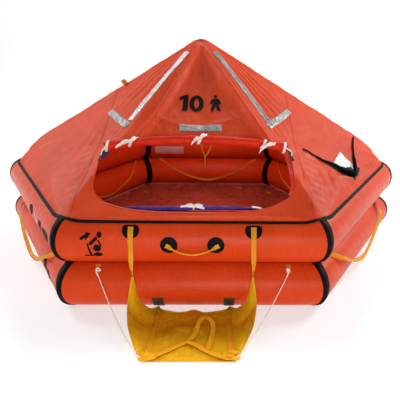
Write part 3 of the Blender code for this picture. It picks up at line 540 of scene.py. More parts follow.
def canopyPoint(x, y, lift=0.0):
    # a point on the canopy, and this far off its surface
    step = 0.004
    here = canopyHeight(x, y)
    slopeX = (canopyHeight(x + step, y) - canopyHeight(x - step, y)) / (2 * step)
    slopeY = (canopyHeight(x, y + step) - canopyHeight(x, y - step)) / (2 * step)
    normal = unit(np.stack([-slopeX, -slopeY, np.ones_like(slopeX)], -1))
    return np.stack(np.broadcast_arrays(x, y, here), -1) + normal * np.asarray(lift)[..., None], normal


def frontDepth(x, height):
    # where the front of the canopy is at this place across and this height
    low, high = np.full(np.shape(x), -1.27), np.full(np.shape(x), -0.30)
    for _ in range(30):
        middle = (low + high) / 2
        above = canopyHeight(x, middle) > height
        low, high = np.where(above, low, middle), np.where(above, middle, high)
    return (low + high) / 2


def doorKeep(x, z):
    power = np.where(z > door["middle"], door["topPower"], door["sillPower"])
    rise = np.where(z > door["middle"], door["top"] - door["middle"], door["middle"] - door["sill"])
    a, b = np.abs(x) / door["halfWidth"], np.abs(z - door["middle"]) / rise
    top = np.maximum(a, b)
    return top * ((a / top) ** power + (b / top) ** power) ** (1 / power) - 1


def doorLine(turns):
    # the entrance's edge, anticlockwise from its right-hand side
    power = np.where(np.sin(turns) > 0, door["topPower"], door["sillPower"])
    rise = np.where(np.sin(turns) > 0, door["top"] - door["middle"], door["middle"] - door["sill"])
    x = door["halfWidth"] * np.sign(np.cos(turns)) * np.abs(np.cos(turns)) ** (2 / power)
    z = door["middle"] + np.sign(np.sin(turns)) * rise * np.abs(np.sin(turns)) ** (2 / power)
    return np.stack([x, frontDepth(x, z), z], 1)


def makeCanopy():
    corners = [radians(60 * k) for k in range(7)]
    rim = []
    for k in range(6):
        for share in np.linspace(0, 1, canopy["columns"], endpoint=False):
            a, b = corners[k], corners[k + 1]
            rim.append((cos(a) + (cos(b) - cos(a)) * share, sin(a) + (sin(b) - sin(a)) * share))
    rim = np.array(rim)
    reach = np.linspace(0.012, 1, canopy["rows"])[:, None]
    x, y = rim[:, 0] * reach * cornerReach, rim[:, 1] * reach * cornerReach
    z = canopyHeight(x, y)
    z[-1] = edgeHeight
    for degrees, outward in ((56.3, 0.1512), (54.6, 0.1506)):  # the hem, tucked under the black tape
        away = hull["side"] + outward * cos(radians(degrees)) / cos(pi / 6)
        x, y = np.vstack([x, rim[None, :, 0] * away]), np.vstack([y, rim[None, :, 1] * away])
        z = np.vstack([z, np.full((1, len(rim)), hull["upperCentre"] + outward * sin(radians(degrees)))])
    points = np.stack([x, y, z], -1).reshape(-1, 3)
    quads, _ = gridQuads(len(x), len(rim), loopColumns=True)
    keep = np.where(y > -0.45, 1.0, doorKeep(x, z))
    keep = np.minimum(keep, insideHem(x, y, taping["cornerRadius"], apothem + 0.0875))
    count = len(points)
    points = np.vstack([points, [[0, 0, float(canopyHeight(0.0, 0.0))]]])
    keep = np.append(keep.ravel(), 1.0)
    points, faces = clipGrid(points, keep, quads)
    top = len(points) - 1 if np.allclose(points[-1][:2], 0) else None
    if top is None:
        points = np.vstack([points, [[0, 0, float(canopyHeight(0.0, 0.0))]]])
        top = len(points) - 1
    first = np.arange(len(rim))
    faces += [[top, int(i), int((i + 1) % len(rim))] for i in first]
    sheet = np.column_stack([points, points[:, 0], points[:, 1] * 1.24])
    piece = place("canopySheet", sheet, faces, "canopyFabric")
    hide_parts("canopy_front", "canopy_back", "canopy_front_left", "canopy_front_right",
                "canopy_back_left", "canopy_back_right")
    hem = doorLine(np.linspace(0, 2 * pi, 300, endpoint=False))
    hem = smoothPath(hem[::3], 0.008, closed=True)
    edge = sweep("doorHem", hem, bandSection(0.012, 0.004), "canopyFabric", across=(0, 0.62, 0.78), closed=True)
    low = hem[(hem[:, 2] < 0.80) & (hem[:, 0] < 0.10)]
    low = low[np.argsort(np.arctan2(low[:, 0], -(low[:, 2] - 0.80)))]
    piping = sweep("doorPiping", smoothPath(low + (0, 0.003, 0.004), 0.008), roundSection(0.0012, 8), "paleEdge")
    area = sum(f.area for f in piece.data.polygons)
    print("canopy area", round(area, 2))
    return piece


def canopyStrip(name, line, width, finishName, lift=0.0012, crinkle=0.0, across=7, shape=None, spacing=0.008,
                seed=1):
    # a band of cloth, tape or print lying on the canopy along a line of (x, y)
    line = np.asarray(line, float)
    path = smoothPath(np.column_stack([line, np.zeros(len(line))]), spacing)
    centre, normal = canopyPoint(path[:, 0], path[:, 1])
    ahead = unit(np.gradient(centre, axis=0))
    wide = unit(np.cross(normal, ahead))
    v = np.linspace(-width / 2, width / 2, across)
    spots = centre[:, None] + wide[:, None] * v[None, :, None]
    length = np.concatenate([[0], np.cumsum(np.linalg.norm(np.diff(centre, axis=0), axis=1))])
    rise = np.full(spots.shape[:2], lift)
    rise[:, [0, -1]] *= 0.35
    if crinkle:
        rise = rise + crinkle * np.abs(ripples(spots, 0.018, seed))
    points, _ = canopyPoint(spots[..., 0], spots[..., 1], rise)
    u, v = np.broadcast_arrays(length[:, None], v[None])
    sheet = np.concatenate([points, u[..., None], v[..., None]], -1).reshape(-1, 5)
    quads, _ = gridQuads(*u.shape)
    keep = np.ones(u.size) if shape is None else shape(u, v).ravel()
    points, faces = clipGrid(sheet, keep, quads)
    return place(name, points, faces, finishName)


markings = {"tapeWidth": 0.048, "numberAt": (-0.018, -0.488), "ink": 0.0034}


def makeCanopyTrim():
    width = markings["tapeWidth"]
    tapes = {"silverTapeRight": ((0.102, -0.098), (0.29, -0.345), (0.473, -0.595)),
             "silverTapeRightFoot": ((0.457, -0.640), (0.55, -0.455), (0.638, -0.264)),
             "silverTapeLeft": ((-0.099, -0.107), (-0.27, -0.36), (-0.441, -0.612)),
             "silverTapeLeftFoot": ((-0.446, -0.663), (-0.545, -0.475), (-0.641, -0.287)),
             "silverTapeFront": ((-0.115, -0.683), (0.02, -0.684), (0.156, -0.680)),
             "silverTapeCrown": ((-0.040, -0.002), (0.0, -0.003), (0.040, -0.002)),
             "silverTapeBackRight": ((0.10, 0.10), (0.29, 0.35), (0.46, 0.60)),
             "silverTapeBackLeft": ((-0.10, 0.10), (-0.29, 0.35), (-0.46, 0.60)),
             "silverTapeBack": ((-0.14, 0.70), (0.0, 0.705), (0.14, 0.70))}
    for index, (name, line) in enumerate(tapes.items()):
        # the left-hand tape takes the brighter copy: painted reflection of light on it
        canopyStrip(name, line, {"silverTapeCrown": 0.016, "silverTapeFront": 0.058}.get(name, width),
                    "silverTapePaintedGlint" if name == "silverTapeLeft" else "silverTape", lift=0.0016, crinkle=0.0022,
                    across=11, spacing=0.006, seed=30 + index)
    for fore, ahead in (("Front", -1), ("Back", 1)):
        for hand, sign in (("Left", -1), ("Right", 1)):
            seam, foot = canopy["seamX"], canopy["seamFootX"]
            line = [(sign * (seam if t < 0.6 else seam + (foot - seam) * (t - 0.6) / 0.9), ahead * t)
                    for t in np.linspace(0.02, 1.262, 14)]
            canopyStrip("panelSeam" + fore + hand, line, 0.026, "canopyFabric", lift=0.0022, spacing=0.012)
            for side in (-1, 1):
                offset = [(px + side * 0.009, py) for px, py in line]
                canopyStrip("seamStitch" + fore + hand + ("Inner" if side * sign < 0 else "Outer"), offset, 0.0022,
                            "seamThread", lift=0.0030, across=3, spacing=0.006,
                            shape=lambda u, v: 0.0028 - np.abs((u % 0.009) - 0.0045) + 0 * v)
    ridge = [(x, -0.0005) for x in np.linspace(-1.28, 1.28, 30)]
    canopyStrip("ridgeSeam", ridge, 0.034, "canopyFabric", lift=0.0016, spacing=0.014)

    def number(u, v):
        u, v = (u - 0.27) / 1.03, v / 1.23
        stem = slab(u, v, (-0.052, -0.060), (-0.020, 0.060))
        flag = capsule(u, v, (-0.068, 0.032), (-0.042, 0.046), 0.0125)
        outer = 1 - np.hypot((u - 0.0355) / 0.0455, v / 0.0620)
        inner = np.hypot((u - 0.0355) / 0.0165, v / 0.0365) - 1
        zero = np.minimum(outer * 0.043, inner * 0.018)
        w = u - 0.158
        person = np.maximum(circle(w, v, 0, 0.050, 0.0125), slab(w, v, (-0.017, -0.016), (0.017, 0.034)))
        for hand in (-1, 1):
            person = np.maximum(person, capsule(w, v, (hand * 0.016, 0.027), (hand * 0.029, -0.002), 0.0078))
            person = np.maximum(person, capsule(w, v, (hand * 0.008, -0.010), (hand * 0.021, -0.052), 0.0102))
        return np.maximum(np.maximum(stem, flag), np.maximum(zero, person))

    cx, cy = markings["numberAt"]
    canopyStrip("capacityNumber", ((cx - 0.27, cy), (cx, cy), (cx + 0.27, cy)), 0.19, "printInk",
                lift=markings["ink"], across=77, spacing=0.0025, shape=number)


# Black gutter on the right-hand face, its wide flap and the bare white tag
gutter = {"flap": ((0.965, -0.624), (1.0735, -0.622), (1.142, -0.440), (1.0875, -0.481)),
          "line": ((0.688, -0.655), (0.80, -0.650), (0.90, -0.645), (0.99, -0.637), (1.060, -0.610)),
          "rise": ((1.060, -0.610), (1.085, -0.52), (1.115, -0.36), (1.150, -0.18), (1.185, -0.035)),
          "tag": ((0.911, -0.608), (1.079, -0.552), (1.060, -0.5075), (0.995, -0.409))}


def makeGutter():
    def wedge(u, v):
        share = np.clip(u / 0.40, 0, 1)
        return 0.006 + 0.040 * share ** 1.9 - np.abs(v)

    arm = canopyStrip("gutterArm", gutter["line"], 0.085, "blackRubber", lift=0.004, across=21, spacing=0.006,
                      shape=wedge, crinkle=0.0008, seed=51)
    rise = canopyStrip("gutterRise", gutter["rise"], 0.034, "blackRubber", lift=0.004, across=9, spacing=0.006,
                       shape=lambda u, v: 0.014 - 0.006 * np.clip(u / 0.5, 0, 1) - np.abs(v), crinkle=0.0006, seed=52)
    for name, line, heights in (("gutterLipArm", gutter["line"], (0.008, 0.042)),
                                ("gutterLipRise", gutter["rise"], (0.040, 0.008))):
        base = smoothPath(np.column_stack([np.array(line), np.zeros(len(line))]), 0.008)
        share = np.linspace(0, 1, len(base))
        height = heights[0] + (heights[1] - heights[0]) * share ** (2 if heights[1] > heights[0] else 0.5)
        foot, normal = canopyPoint(base[:, 0], base[:, 1], 0.003)
        ahead = unit(np.gradient(foot, axis=0))
        wide = np.cross(normal, ahead)
        lean = 0.35 + 0.3 * ripples(foot, 0.10, 61)
        rows = []
        for t, off in ((0, -1), (0.5, -1), (1, -1), (1, 1), (0.5, 1), (0, 1)):
            rows.append(foot + normal * (height * t)[:, None] + wide * (off * 0.0012 + lean * height * t * t)[:, None])
        points = np.stack(rows, 1)
        uv = np.stack(np.broadcast_arrays(np.arange(7)[None] * 0.01, share[:, None] * 0.4), -1)
        gridPiece(name, points, "blackRubber", uv, loopColumns=True, capped=True)
    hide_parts("rain_gutter")
    u, v = np.meshgrid(np.linspace(0, 1, 18), np.linspace(0, 1, 18), indexing="ij")
    a, b, c, d = (np.array(corner)[:, None, None] for corner in gutter["flap"])
    x, y = a * (1 - u) * (1 - v) + b * u * (1 - v) + c * u * v + d * (1 - u) * v
    points, _ = canopyPoint(x, y, 0.007 + 0.010 * u ** 2 * (1 - v) + 0.002 * ripples(np.stack([x, y, 0 * x], -1), 0.06, 57))
    gridPiece("gutterFlap", points, "blackRubber", np.stack([u * 0.1, v * 0.24], -1), recalculate=False)
    u, v = np.meshgrid(np.linspace(0, 1, 26), np.linspace(0, 1, 22), indexing="ij")
    a, b, c, d = (np.array(corner)[:, None, None] for corner in gutter["tag"])
    x, y = a * (1 - u) * (1 - v) + b * u * (1 - v) + c * u * v + d * (1 - u) * v
    curl = 0.005 + 0.012 * v ** 2 * (0.4 + u) + 0.0016 * ripples(np.stack([x, y, 0 * x], -1), 0.05, 54)
    points, _ = canopyPoint(x, y, curl)
    tag = gridPiece("gutterTag", points, "blankTag", np.stack([u * 0.14, v * 0.12], -1), recalculate=False)
    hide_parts("gutter_tag")
    base, normal = canopyPoint(np.array([-0.571]), np.array([-0.010]), 0.001)
    loop = [base[0] + normal[0] * rise + (0, across, 0) for rise, across in
            ((0.0, -0.007), (0.020, -0.008), (0.036, -0.005), (0.040, 0.0), (0.036, 0.005), (0.020, 0.007), (0.0, 0.006))]
    tab = sweep("ridgeTab", smoothPath(loop, 0.004), bandSection(0.034, 0.0022), "yellowWebbing", across=(0.87, 0, 0.5))
    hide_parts("ridge_tab")


# Rolled door with its ties and toggles, and the rolled lining on the sill
doorRoll = {"radius": 0.030, "reach": 0.556, "raised": 0.016, "turns": 6, "cloth": 0.0012, "clear": 0.0041,
            "ties": (-0.4025, 0.0215, 0.4175), "power": 9}


doorEnds = (("doorEndLeft", -1, 0.802, 0.846, 0.028, 0.002, "liningFabric"),
            ("doorEndRight", 1, 0.66, 0.890, 0.026, 0.006, "doorFabric"))


def rollLine(x):
    height = door["middle"] + (door["top"] - door["middle"]) * (
        1 - (np.abs(x) / door["halfWidth"]) ** doorRoll["power"]) ** (1 / doorRoll["power"])
    slope, raised = radians(36.1), doorRoll["raised"] * np.maximum(0, 1 - (x / 0.46) ** 2)
    drop = doorRoll["radius"] + doorRoll["clear"] + 0.005 * (x / 0.51) ** 6 - raised
    depth = -1.279 + (height - 0.557) / 0.729
    return np.stack([x, depth - drop * cos(slope) - raised * sin(slope),
                     height - drop * sin(slope) + raised * cos(slope)], -1)


def makeDoorRoll():
    x = np.linspace(-doorRoll["reach"], doorRoll["reach"], 110)
    line = rollLine(x)
    turns, around = doorRoll["turns"], 26
    angle = np.linspace(0, 2 * pi * turns, turns * around)
    pinch = np.ones(len(x))
    for tie in doorRoll["ties"]:
        pinch = pinch - 0.20 * np.exp(-((x - tie) / 0.022) ** 2)
    rough = 1 + 0.05 * ripples(line, 0.10, 21)
    spiral = 0.005 + (doorRoll["radius"] - 0.006) * (angle / angle[-1])
    ahead = unit(np.gradient(line, axis=0))
    up = np.broadcast_to((0, sin(radians(-53.9)), cos(radians(-53.9))), line.shape)
    up = unit(up - ahead * np.sum(up * ahead, 1)[:, None])
    over = np.cross(ahead, up)
    start = radians(150)
    lumps = 1 + 0.035 * np.sin(3 * angle[None] + 9 * x[:, None]) + 0.02 * np.sin(5 * angle[None] - 23 * x[:, None])
    radius = spiral[None] * (pinch * rough)[:, None] * lumps
    points = (line[:, None] + up[:, None] * (radius * np.cos(angle + start))[..., None]
              + over[:, None] * (radius * np.sin(angle + start))[..., None])
    uv = np.stack(np.broadcast_arrays(x[:, None], (spiral * angle / 2)[None]), -1)
    roll = gridPiece("doorRollCloth", points, "doorFabric", uv, recalculate=False)
    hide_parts("door_roll")
    for name, sign, low, high, wide, back, finishName in doorEnds:  # cloth hanging inside the opening's edge
        edge = doorLine(np.linspace(0.5, -0.3, 900) * pi)
        edge = smoothPath(edge[(edge[:, 2] < high) & (edge[:, 2] > low)][::6], 0.01)
        edge[:, 0] *= sign * 0.99
        width = wide * (1 - 0.7 * np.linspace(0, 1, len(edge)) ** 2)
        wave = 0.004 * np.sin(np.linspace(0, 9, len(edge)))
        rows = [edge + np.stack([-sign * width * share, back + 0.03 * share + wave * share, -0.010 * share + 0 * width], 1)
                for share in np.linspace(0, 1, 7)]
        uv = np.stack(np.meshgrid(np.linspace(0, 0.25, len(edge)), np.linspace(0, 0.05, 7), indexing="ij"), -1)
        flap = gridPiece(name, np.stack(rows, 1), finishName, uv, recalculate=False)


tieCord = {"width": 0.017, "thickness": 0.0030,
           "reach": {"Left": (-0.085, 0.046), "Middle": (-0.050, 0.044), "Right": (-0.032, 0.080)}}


def makeTies():
    for index, (name, x) in enumerate((("Left", doorRoll["ties"][0]), ("Middle", doorRoll["ties"][1]),
                                       ("Right", doorRoll["ties"][2]))):
        centre = rollLine(np.array([x]))[0]
        radius = doorRoll["radius"] * 0.88
        turn = np.linspace(0, 2 * pi, 40, endpoint=False)
        lean = 0.012
        ring = np.stack([centre[0] + lean * np.sin(turn), centre[1] + radius * np.cos(turn),
                         centre[2] + radius * np.sin(turn)], 1)
        parts = [sweep("tieBand" + name, ring, bandSection(tieCord["width"], tieCord["thickness"]), "whiteCord",
                       across=(1, 0, 0), closed=True)]
        front = centre + np.array([0.0, -radius * 0.80, radius * 0.60])
        lie = np.array([0, cos(radians(36)), sin(radians(36))])
        out = np.array([0, -sin(radians(36)), cos(radians(36))])
        far, near = tieCord["reach"][name]
        front = front - lie * {"Left": 0.011, "Middle": 0.006, "Right": 0.044}[name]
        tails = [[(0, 0, 0.006), (near * 0.35, 0.013, 0.009), (near * 0.7, 0.028, 0.002), (near, 0.042, -0.010)],
                 [(0, 0, 0.006), (far * 0.4, -0.014, 0.010), (far * 0.75, -0.028, 0.003), (far, -0.038, -0.010)],
                 [(0, 0, 0.006), (near * 0.30, 0.020, 0.012), (near * 0.58, 0.037, 0.004), (near * 0.64, 0.026, 0.004),
                  (near * 0.3, 0.008, 0.009), (0, 0, 0.008)],
                 [(0, 0, 0.006), (far * 0.3, -0.001, 0.012), (far * 0.55, -0.015, 0.008), (far * 0.58, -0.025, 0.006),
                  (far * 0.3, -0.014, 0.010), (0, 0, 0.007)]]
        for number, tail in enumerate(tails):
            path = [front + np.array([a, 0, 0]) + lie * b + out * c for a, b, c in tail]
            fine = smoothPath(path, 0.004)
            twist = 0.5 * np.sin(np.linspace(0, 3 + index, len(fine)))
            parts.append(sweep("tieTail", fine, bandSection(tieCord["width"], tieCord["thickness"]), "whiteCord",
                               across=lie, twist=twist))
        parts.append(sweep("tieKnot", smoothPath([front + lie * 0.006 + out * 0.003 + (-0.009, 0, 0),
                                                  front + out * 0.010, front + (0.009, 0, 0) + out * 0.004], 0.003),
                           roundSection(0.0065, 10), "whiteCord", strands=(3, 0.02, 0.15)))
        tie = joined("doorTie" + name, parts)
        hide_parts("door_tie_" + name.lower())
    for hand, sign in (("Left", -1), ("Right", 1)):
        x = np.array([0.573, 0.582, 0.590, 0.596]) * sign + (0.015 if sign < 0 else 0)
        z = np.array([0.848, 0.832, 0.816, 0.800])
        points, normal = canopyPoint(x, frontDepth(x, z), 0.0105)
        path = smoothPath(points, 0.003)
        share = np.linspace(0, 1, len(path))
        swell = 0.55 + 0.45 * np.sin(pi * np.clip(share, 0.08, 0.92)) ** 0.5 - 0.12 * np.exp(-((share - 0.5) / 0.1) ** 2)
        toggle = sweep("doorToggle" + hand, path, roundSection(0.0085, 14), "toggleBrown", scale=swell)
        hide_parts("door_toggle_" + hand.lower())
        end = rollLine(np.array([sign * 0.544]))[0]
        turn = np.linspace(0, 2 * pi, 36, endpoint=False)
        ring = np.stack([end[0] + 0.006 * np.sin(turn), end[1] + 0.033 * np.cos(turn), end[2] + 0.033 * np.sin(turn)], 1)
        middle = points[1]
        lead = [end + (0, -0.028, 0.014), (end + middle) / 2 + (0, -0.016, 0.012), middle + normal[1] * 0.010,
                points[2] + normal[2] * 0.009 + (-sign * 0.006, 0, -0.004), points[2] + normal[2] * 0.006 + (0, -0.01, -0.018)]
        loop = joined("toggleLoop" + hand, [
            sweep("loopBand", ring, bandSection(0.016, 0.0022), "whiteCord", across=(1, 0, 0), closed=True),
            sweep("loopLead", smoothPath(lead, 0.004), roundSection(0.0042, 10), "whiteCord", strands=(3, 0.014, 0.15))])


sill = {"reach": 0.400, "depth": -1.165, "height": 0.5981, "radius": 0.0135}


def makeSill():
    x = np.linspace(-sill["reach"], sill["reach"], 90)
    line = np.stack([x, sill["depth"] + 0.003 * np.sin(7 * x), sill["height"] + 0.0015 * np.sin(11 * x) - 0.001], 1)
    size = (0.45 + 0.55 * np.cos(pi / 2 * np.abs(x) / sill["reach"]) ** 0.6) * (1 - 0.42 * np.exp(-(x / 0.02) ** 2))
    size = size * (1 + 0.05 * ripples(line, 0.07, 71))
    section = roundSection(sill["radius"], 16) * (1, 0.86)
    roll = sweep("sillLining", line, section, "liningFabric", across=(0, 1, 0), scale=size)
    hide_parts("sill_roll")
    bow = []
    for tail in ([(-0.075, -0.006, 0.016), (-0.045, -0.012, 0.020), (-0.015, -0.008, 0.017), (0, -0.004, 0.015)],
                 [(0, -0.004, 0.015), (0.018, -0.012, 0.018), (0.045, -0.014, 0.012), (0.062, -0.020, 0.010)],
                 [(0, -0.004, 0.014), (0.016, 0.010, 0.022), (0.040, 0.006, 0.020), (0.052, -0.004, 0.016),
                  (0.030, -0.006, 0.017), (0.004, -0.004, 0.016)],
                 [(0, -0.004, 0.014), (-0.014, 0.012, 0.022), (-0.036, 0.008, 0.021), (-0.040, -0.004, 0.018),
                  (-0.020, -0.006, 0.018), (-0.002, -0.004, 0.016)]):
        path = smoothPath(np.array(tail) + (0.0, sill["depth"], sill["height"] - 0.004), 0.004)
        bow.append(sweep("bowTail", path, bandSection(0.013, 0.0024), "whiteCord", across=(0, 0.7, 0.7)))
    turn = np.linspace(0, 2 * pi, 30, endpoint=False)
    ring = np.stack([0.001 * np.sin(turn), sill["depth"] + 0.0105 * np.cos(turn),
                     sill["height"] + 0.0095 * np.sin(turn)], 1)
    bow.append(sweep("bowBand", ring, bandSection(0.010, 0.002), "whiteCord", across=(1, 0, 0), closed=True))
    end = np.array([(0.335, 0.002, 0.012), (0.360, -0.006, 0.013), (0.388, -0.010, 0.008)])
    bow.append(sweep("bowEnd", smoothPath(end + (0, sill["depth"], sill["height"] - 0.003), 0.004),
                     bandSection(0.016, 0.003), "whiteCord", across=(0, 1, 0.3)))
    piece = joined("sillBow", bow)


# Fittings on the front: patches, boarding straps and grab handle
patches = {"radius": 0.048, "top": 0.1524, "strapPlace": 0.340, "handlePlace": 0.130}
straps = {"width": 0.030, "thickness": 0.0022, "clear": 0.1536}


def makePatches():
    rings = []
    for node, x, degrees in (("strap_patch_left", -patches["strapPlace"], 35),
                             ("strap_patch_right", patches["strapPlace"], 35),
                             ("handle_patch_left", -patches["handlePlace"], 3),
                             ("handle_patch_right", patches["handlePlace"], 3)):
        turn = np.linspace(0, 2 * pi, 64, endpoint=False)
        for size in (0.90, 0.42):
            radius = patches["radius"] * size
            theta = radians(degrees) + radius * np.sin(turn) / hull["radius"]
            theta = np.minimum(theta, radians(46))
            ring = sidePoint("front", x + radius * np.cos(turn), patches["top"] * np.cos(theta),
                             hull["upperCentre"] + patches["top"] * np.sin(theta))
            rings.append(sweep("patchRim", ring, roundSection(0.0010, 6), "blackRubber", closed=True))
    joined("patchRims", rings)
    boxes = []
    for sign in (-1, 1):
        for level in (0.5275, 0.5055):
            corners = []
            for du, dv in ((-1, -1), (1, -1), (1, 1), (-1, 1)):
                height = level + dv * 0.010 - hull["upperCentre"]
                out = sqrt((straps["clear"] + 0.0022) ** 2 - height ** 2)
                corners.append(sidePoint("front", sign * patches["strapPlace"] + du * 0.011, out,
                                         height + hull["upperCentre"]))
            path = []
            for a, b in zip(corners, corners[1:] + corners[:1]):
                path += [a + (b - a) * t for t in (0, 0.25, 0.5, 0.75)]
            boxes.append(sweep("strapStitch", np.array(path), roundSection(0.0005, 6), "rampWebbing", closed=True))
    joined("strapStitches", boxes)


def makeStraps():
    for hand, sign in (("Left", -1), ("Right", 1)):
        clear = straps["clear"]
        route = [(clear * cos(radians(a)), hull["upperCentre"] + clear * sin(radians(a)))
                 for a in (42, 34, 26, 18, 9, 0)]
        route += [(clear + 0.001, 0.400), (clear + 0.002, 0.350), (clear + 0.002, 0.310), (clear, 0.258)]
        drift = (0, 0, 0, 0, 0, 0, 0.001, 0.003, 0.003, 0.0)
        path = smoothPath([sidePoint("front", sign * (patches["strapPlace"] + d), o, z)
                           for (o, z), d in zip(route, drift)], 0.005)
        share = np.linspace(0, 1, len(path))
        twist = sign * 0.9 * np.exp(-((share - 0.95) / 0.07) ** 2)
        width = 1 - 0.55 * smoothStep(share, 0.62, 0.97)
        piece = sweep("boardingStrap" + hand, path, bandSection(straps["width"], straps["thickness"]),
                      "yellowWebbing", across=(1, 0, 0), twist=twist, scale=np.stack([width, np.ones_like(width)], 1))
        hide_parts("boarding_strap_" + hand.lower())
    half, sag, bulge = 0.148, 0.040, 0.036
    points = []
    for s in np.linspace(-half, half, 33):
        share = abs(s) / half
        lift = bulge * (1 - share ** 2) ** 1.5 if share < 0.86 else 0.0
        drop = sag * (1 - share ** 2)
        angle = asin((0.008 - drop) / straps["clear"])
        points.append(sidePoint("front", s, straps["clear"] * cos(angle) + lift, hull["upperCentre"] + 0.008 - drop))
    path = smoothPath(points, 0.005)
    across = np.cross((0, -1, 0), unit(np.gradient(path, axis=0)))
    share = np.abs(np.linspace(-1, 1, len(path)))
    flatness = smoothStep(share, 0.66, 0.86)
    width = 0.52 + 0.95 * flatness
    thick = 3.1 - 2.1 * flatness
    handle = sweep("grabHandle", path, bandSection(0.018, 0.0022), "yellowWebbing", across=across,
                   scale=np.stack([width, thick], 1))
    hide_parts("grab_handle")


# Boarding ramp on the ground, with its sewn bands and bridle
ramp = {"front": -1.768, "rows": 60, "gusset": 20, "middle": 40, "hump": 0.038}
rampOuter = ((0.355, -1.3466, 0.2617), (0.364, -1.42, 0.135), (0.352, -1.50, 0.098), (0.333, -1.58, 0.072),
             (0.299, -1.66, 0.046), (0.258, -1.74, 0.014), (0.238, -1.772, 0.002))
rampRear = ((0.210, -1.264, 0.008), (0.256, -1.3380, 0.040), (0.306, -1.3470, 0.105), (0.326, -1.3450, 0.200),
            (0.340, -1.3466, 0.2617))


def alongRoute(route, share):
    fine = smoothPath(route, 0.004)
    places = np.linspace(0, 1, len(fine))
    return np.stack([np.interp(share, places, fine[:, k]) for k in range(3)], -1)


def sideLine(v):
    return np.array(rampRear[0]) + (np.array((0.228, ramp["front"], 0.0012)) - rampRear[0]) * np.asarray(v)[..., None] ** 0.8


def rampPoint(w, v):
    # w from -1 at the left outer edge to 1 at the right; the sewn lines lie at half way
    w, v = np.broadcast_arrays(np.asarray(w, float), np.asarray(v, float))
    hand = np.sign(w) + (w == 0)
    size = np.abs(w)
    gussetShare = np.clip((size - 0.5) * 2, 0, 1)
    side, outer = sideLine(v), alongRoute(rampOuter, v)
    pull = alongRoute(rampRear, gussetShare) - (np.array(rampRear[0]) + (np.array(rampOuter[0]) - rampRear[0])
                                                * gussetShare[..., None])
    gusset = side + (outer - side) * gussetShare[..., None] + pull * ((1 - v) ** 2.5)[..., None]
    across = np.clip(size * 2, 0, 1)
    middle = side * (1, 1, 1)
    middle = middle * np.stack([across, np.ones_like(across), across ** 1.5], -1)
    bite = 0.068 * np.cos(pi / 2 * across) ** 0.35 * (1 - v) ** 3 - ramp["hump"] * np.exp(-(across / 0.22) ** 2) * (1 - v) ** 6
    middle[..., 1] -= bite
    points = np.where((size > 0.5)[..., None], gusset, middle)
    points = points * np.stack([hand, np.ones_like(hand), np.ones_like(hand)], -1)
    flat = points * (1, 1, 0.4)
    soft = 0.0020 * (1 + ripples(flat, 0.17, 81)) + 0.0005 * (1 + ripples(flat, 0.05, 82))
    towards = np.exp(-np.hypot(np.abs(points[..., 0]) - 0.235, points[..., 1] + 1.77) / 0.16)
    turn = np.arctan2(points[..., 1] + 1.80, np.abs(points[..., 0]) - 0.26)
    soft = soft + 0.0045 * towards * (1 + np.sin(13 * turn))
    middleWave = 0.006 * np.exp(-((v - 0.33) / 0.10) ** 2) * (1 + np.cos(points[..., 0] * 21))
    points[..., 2] = np.maximum(points[..., 2], 0.0008) + soft * smoothStep(1 - v, 0.0, 0.04) + middleWave * (size < 0.5)
    return points


def rampStrap(name, places, width, lift, finishName="rampWebbing"):
    path = smoothPath(places, 0.006) + (0, 0, lift)
    return sweep(name, path, bandSection(width, 0.0022), finishName, across=np.cross(
        unit(np.gradient(path, axis=0)), (0, 0, 1)))


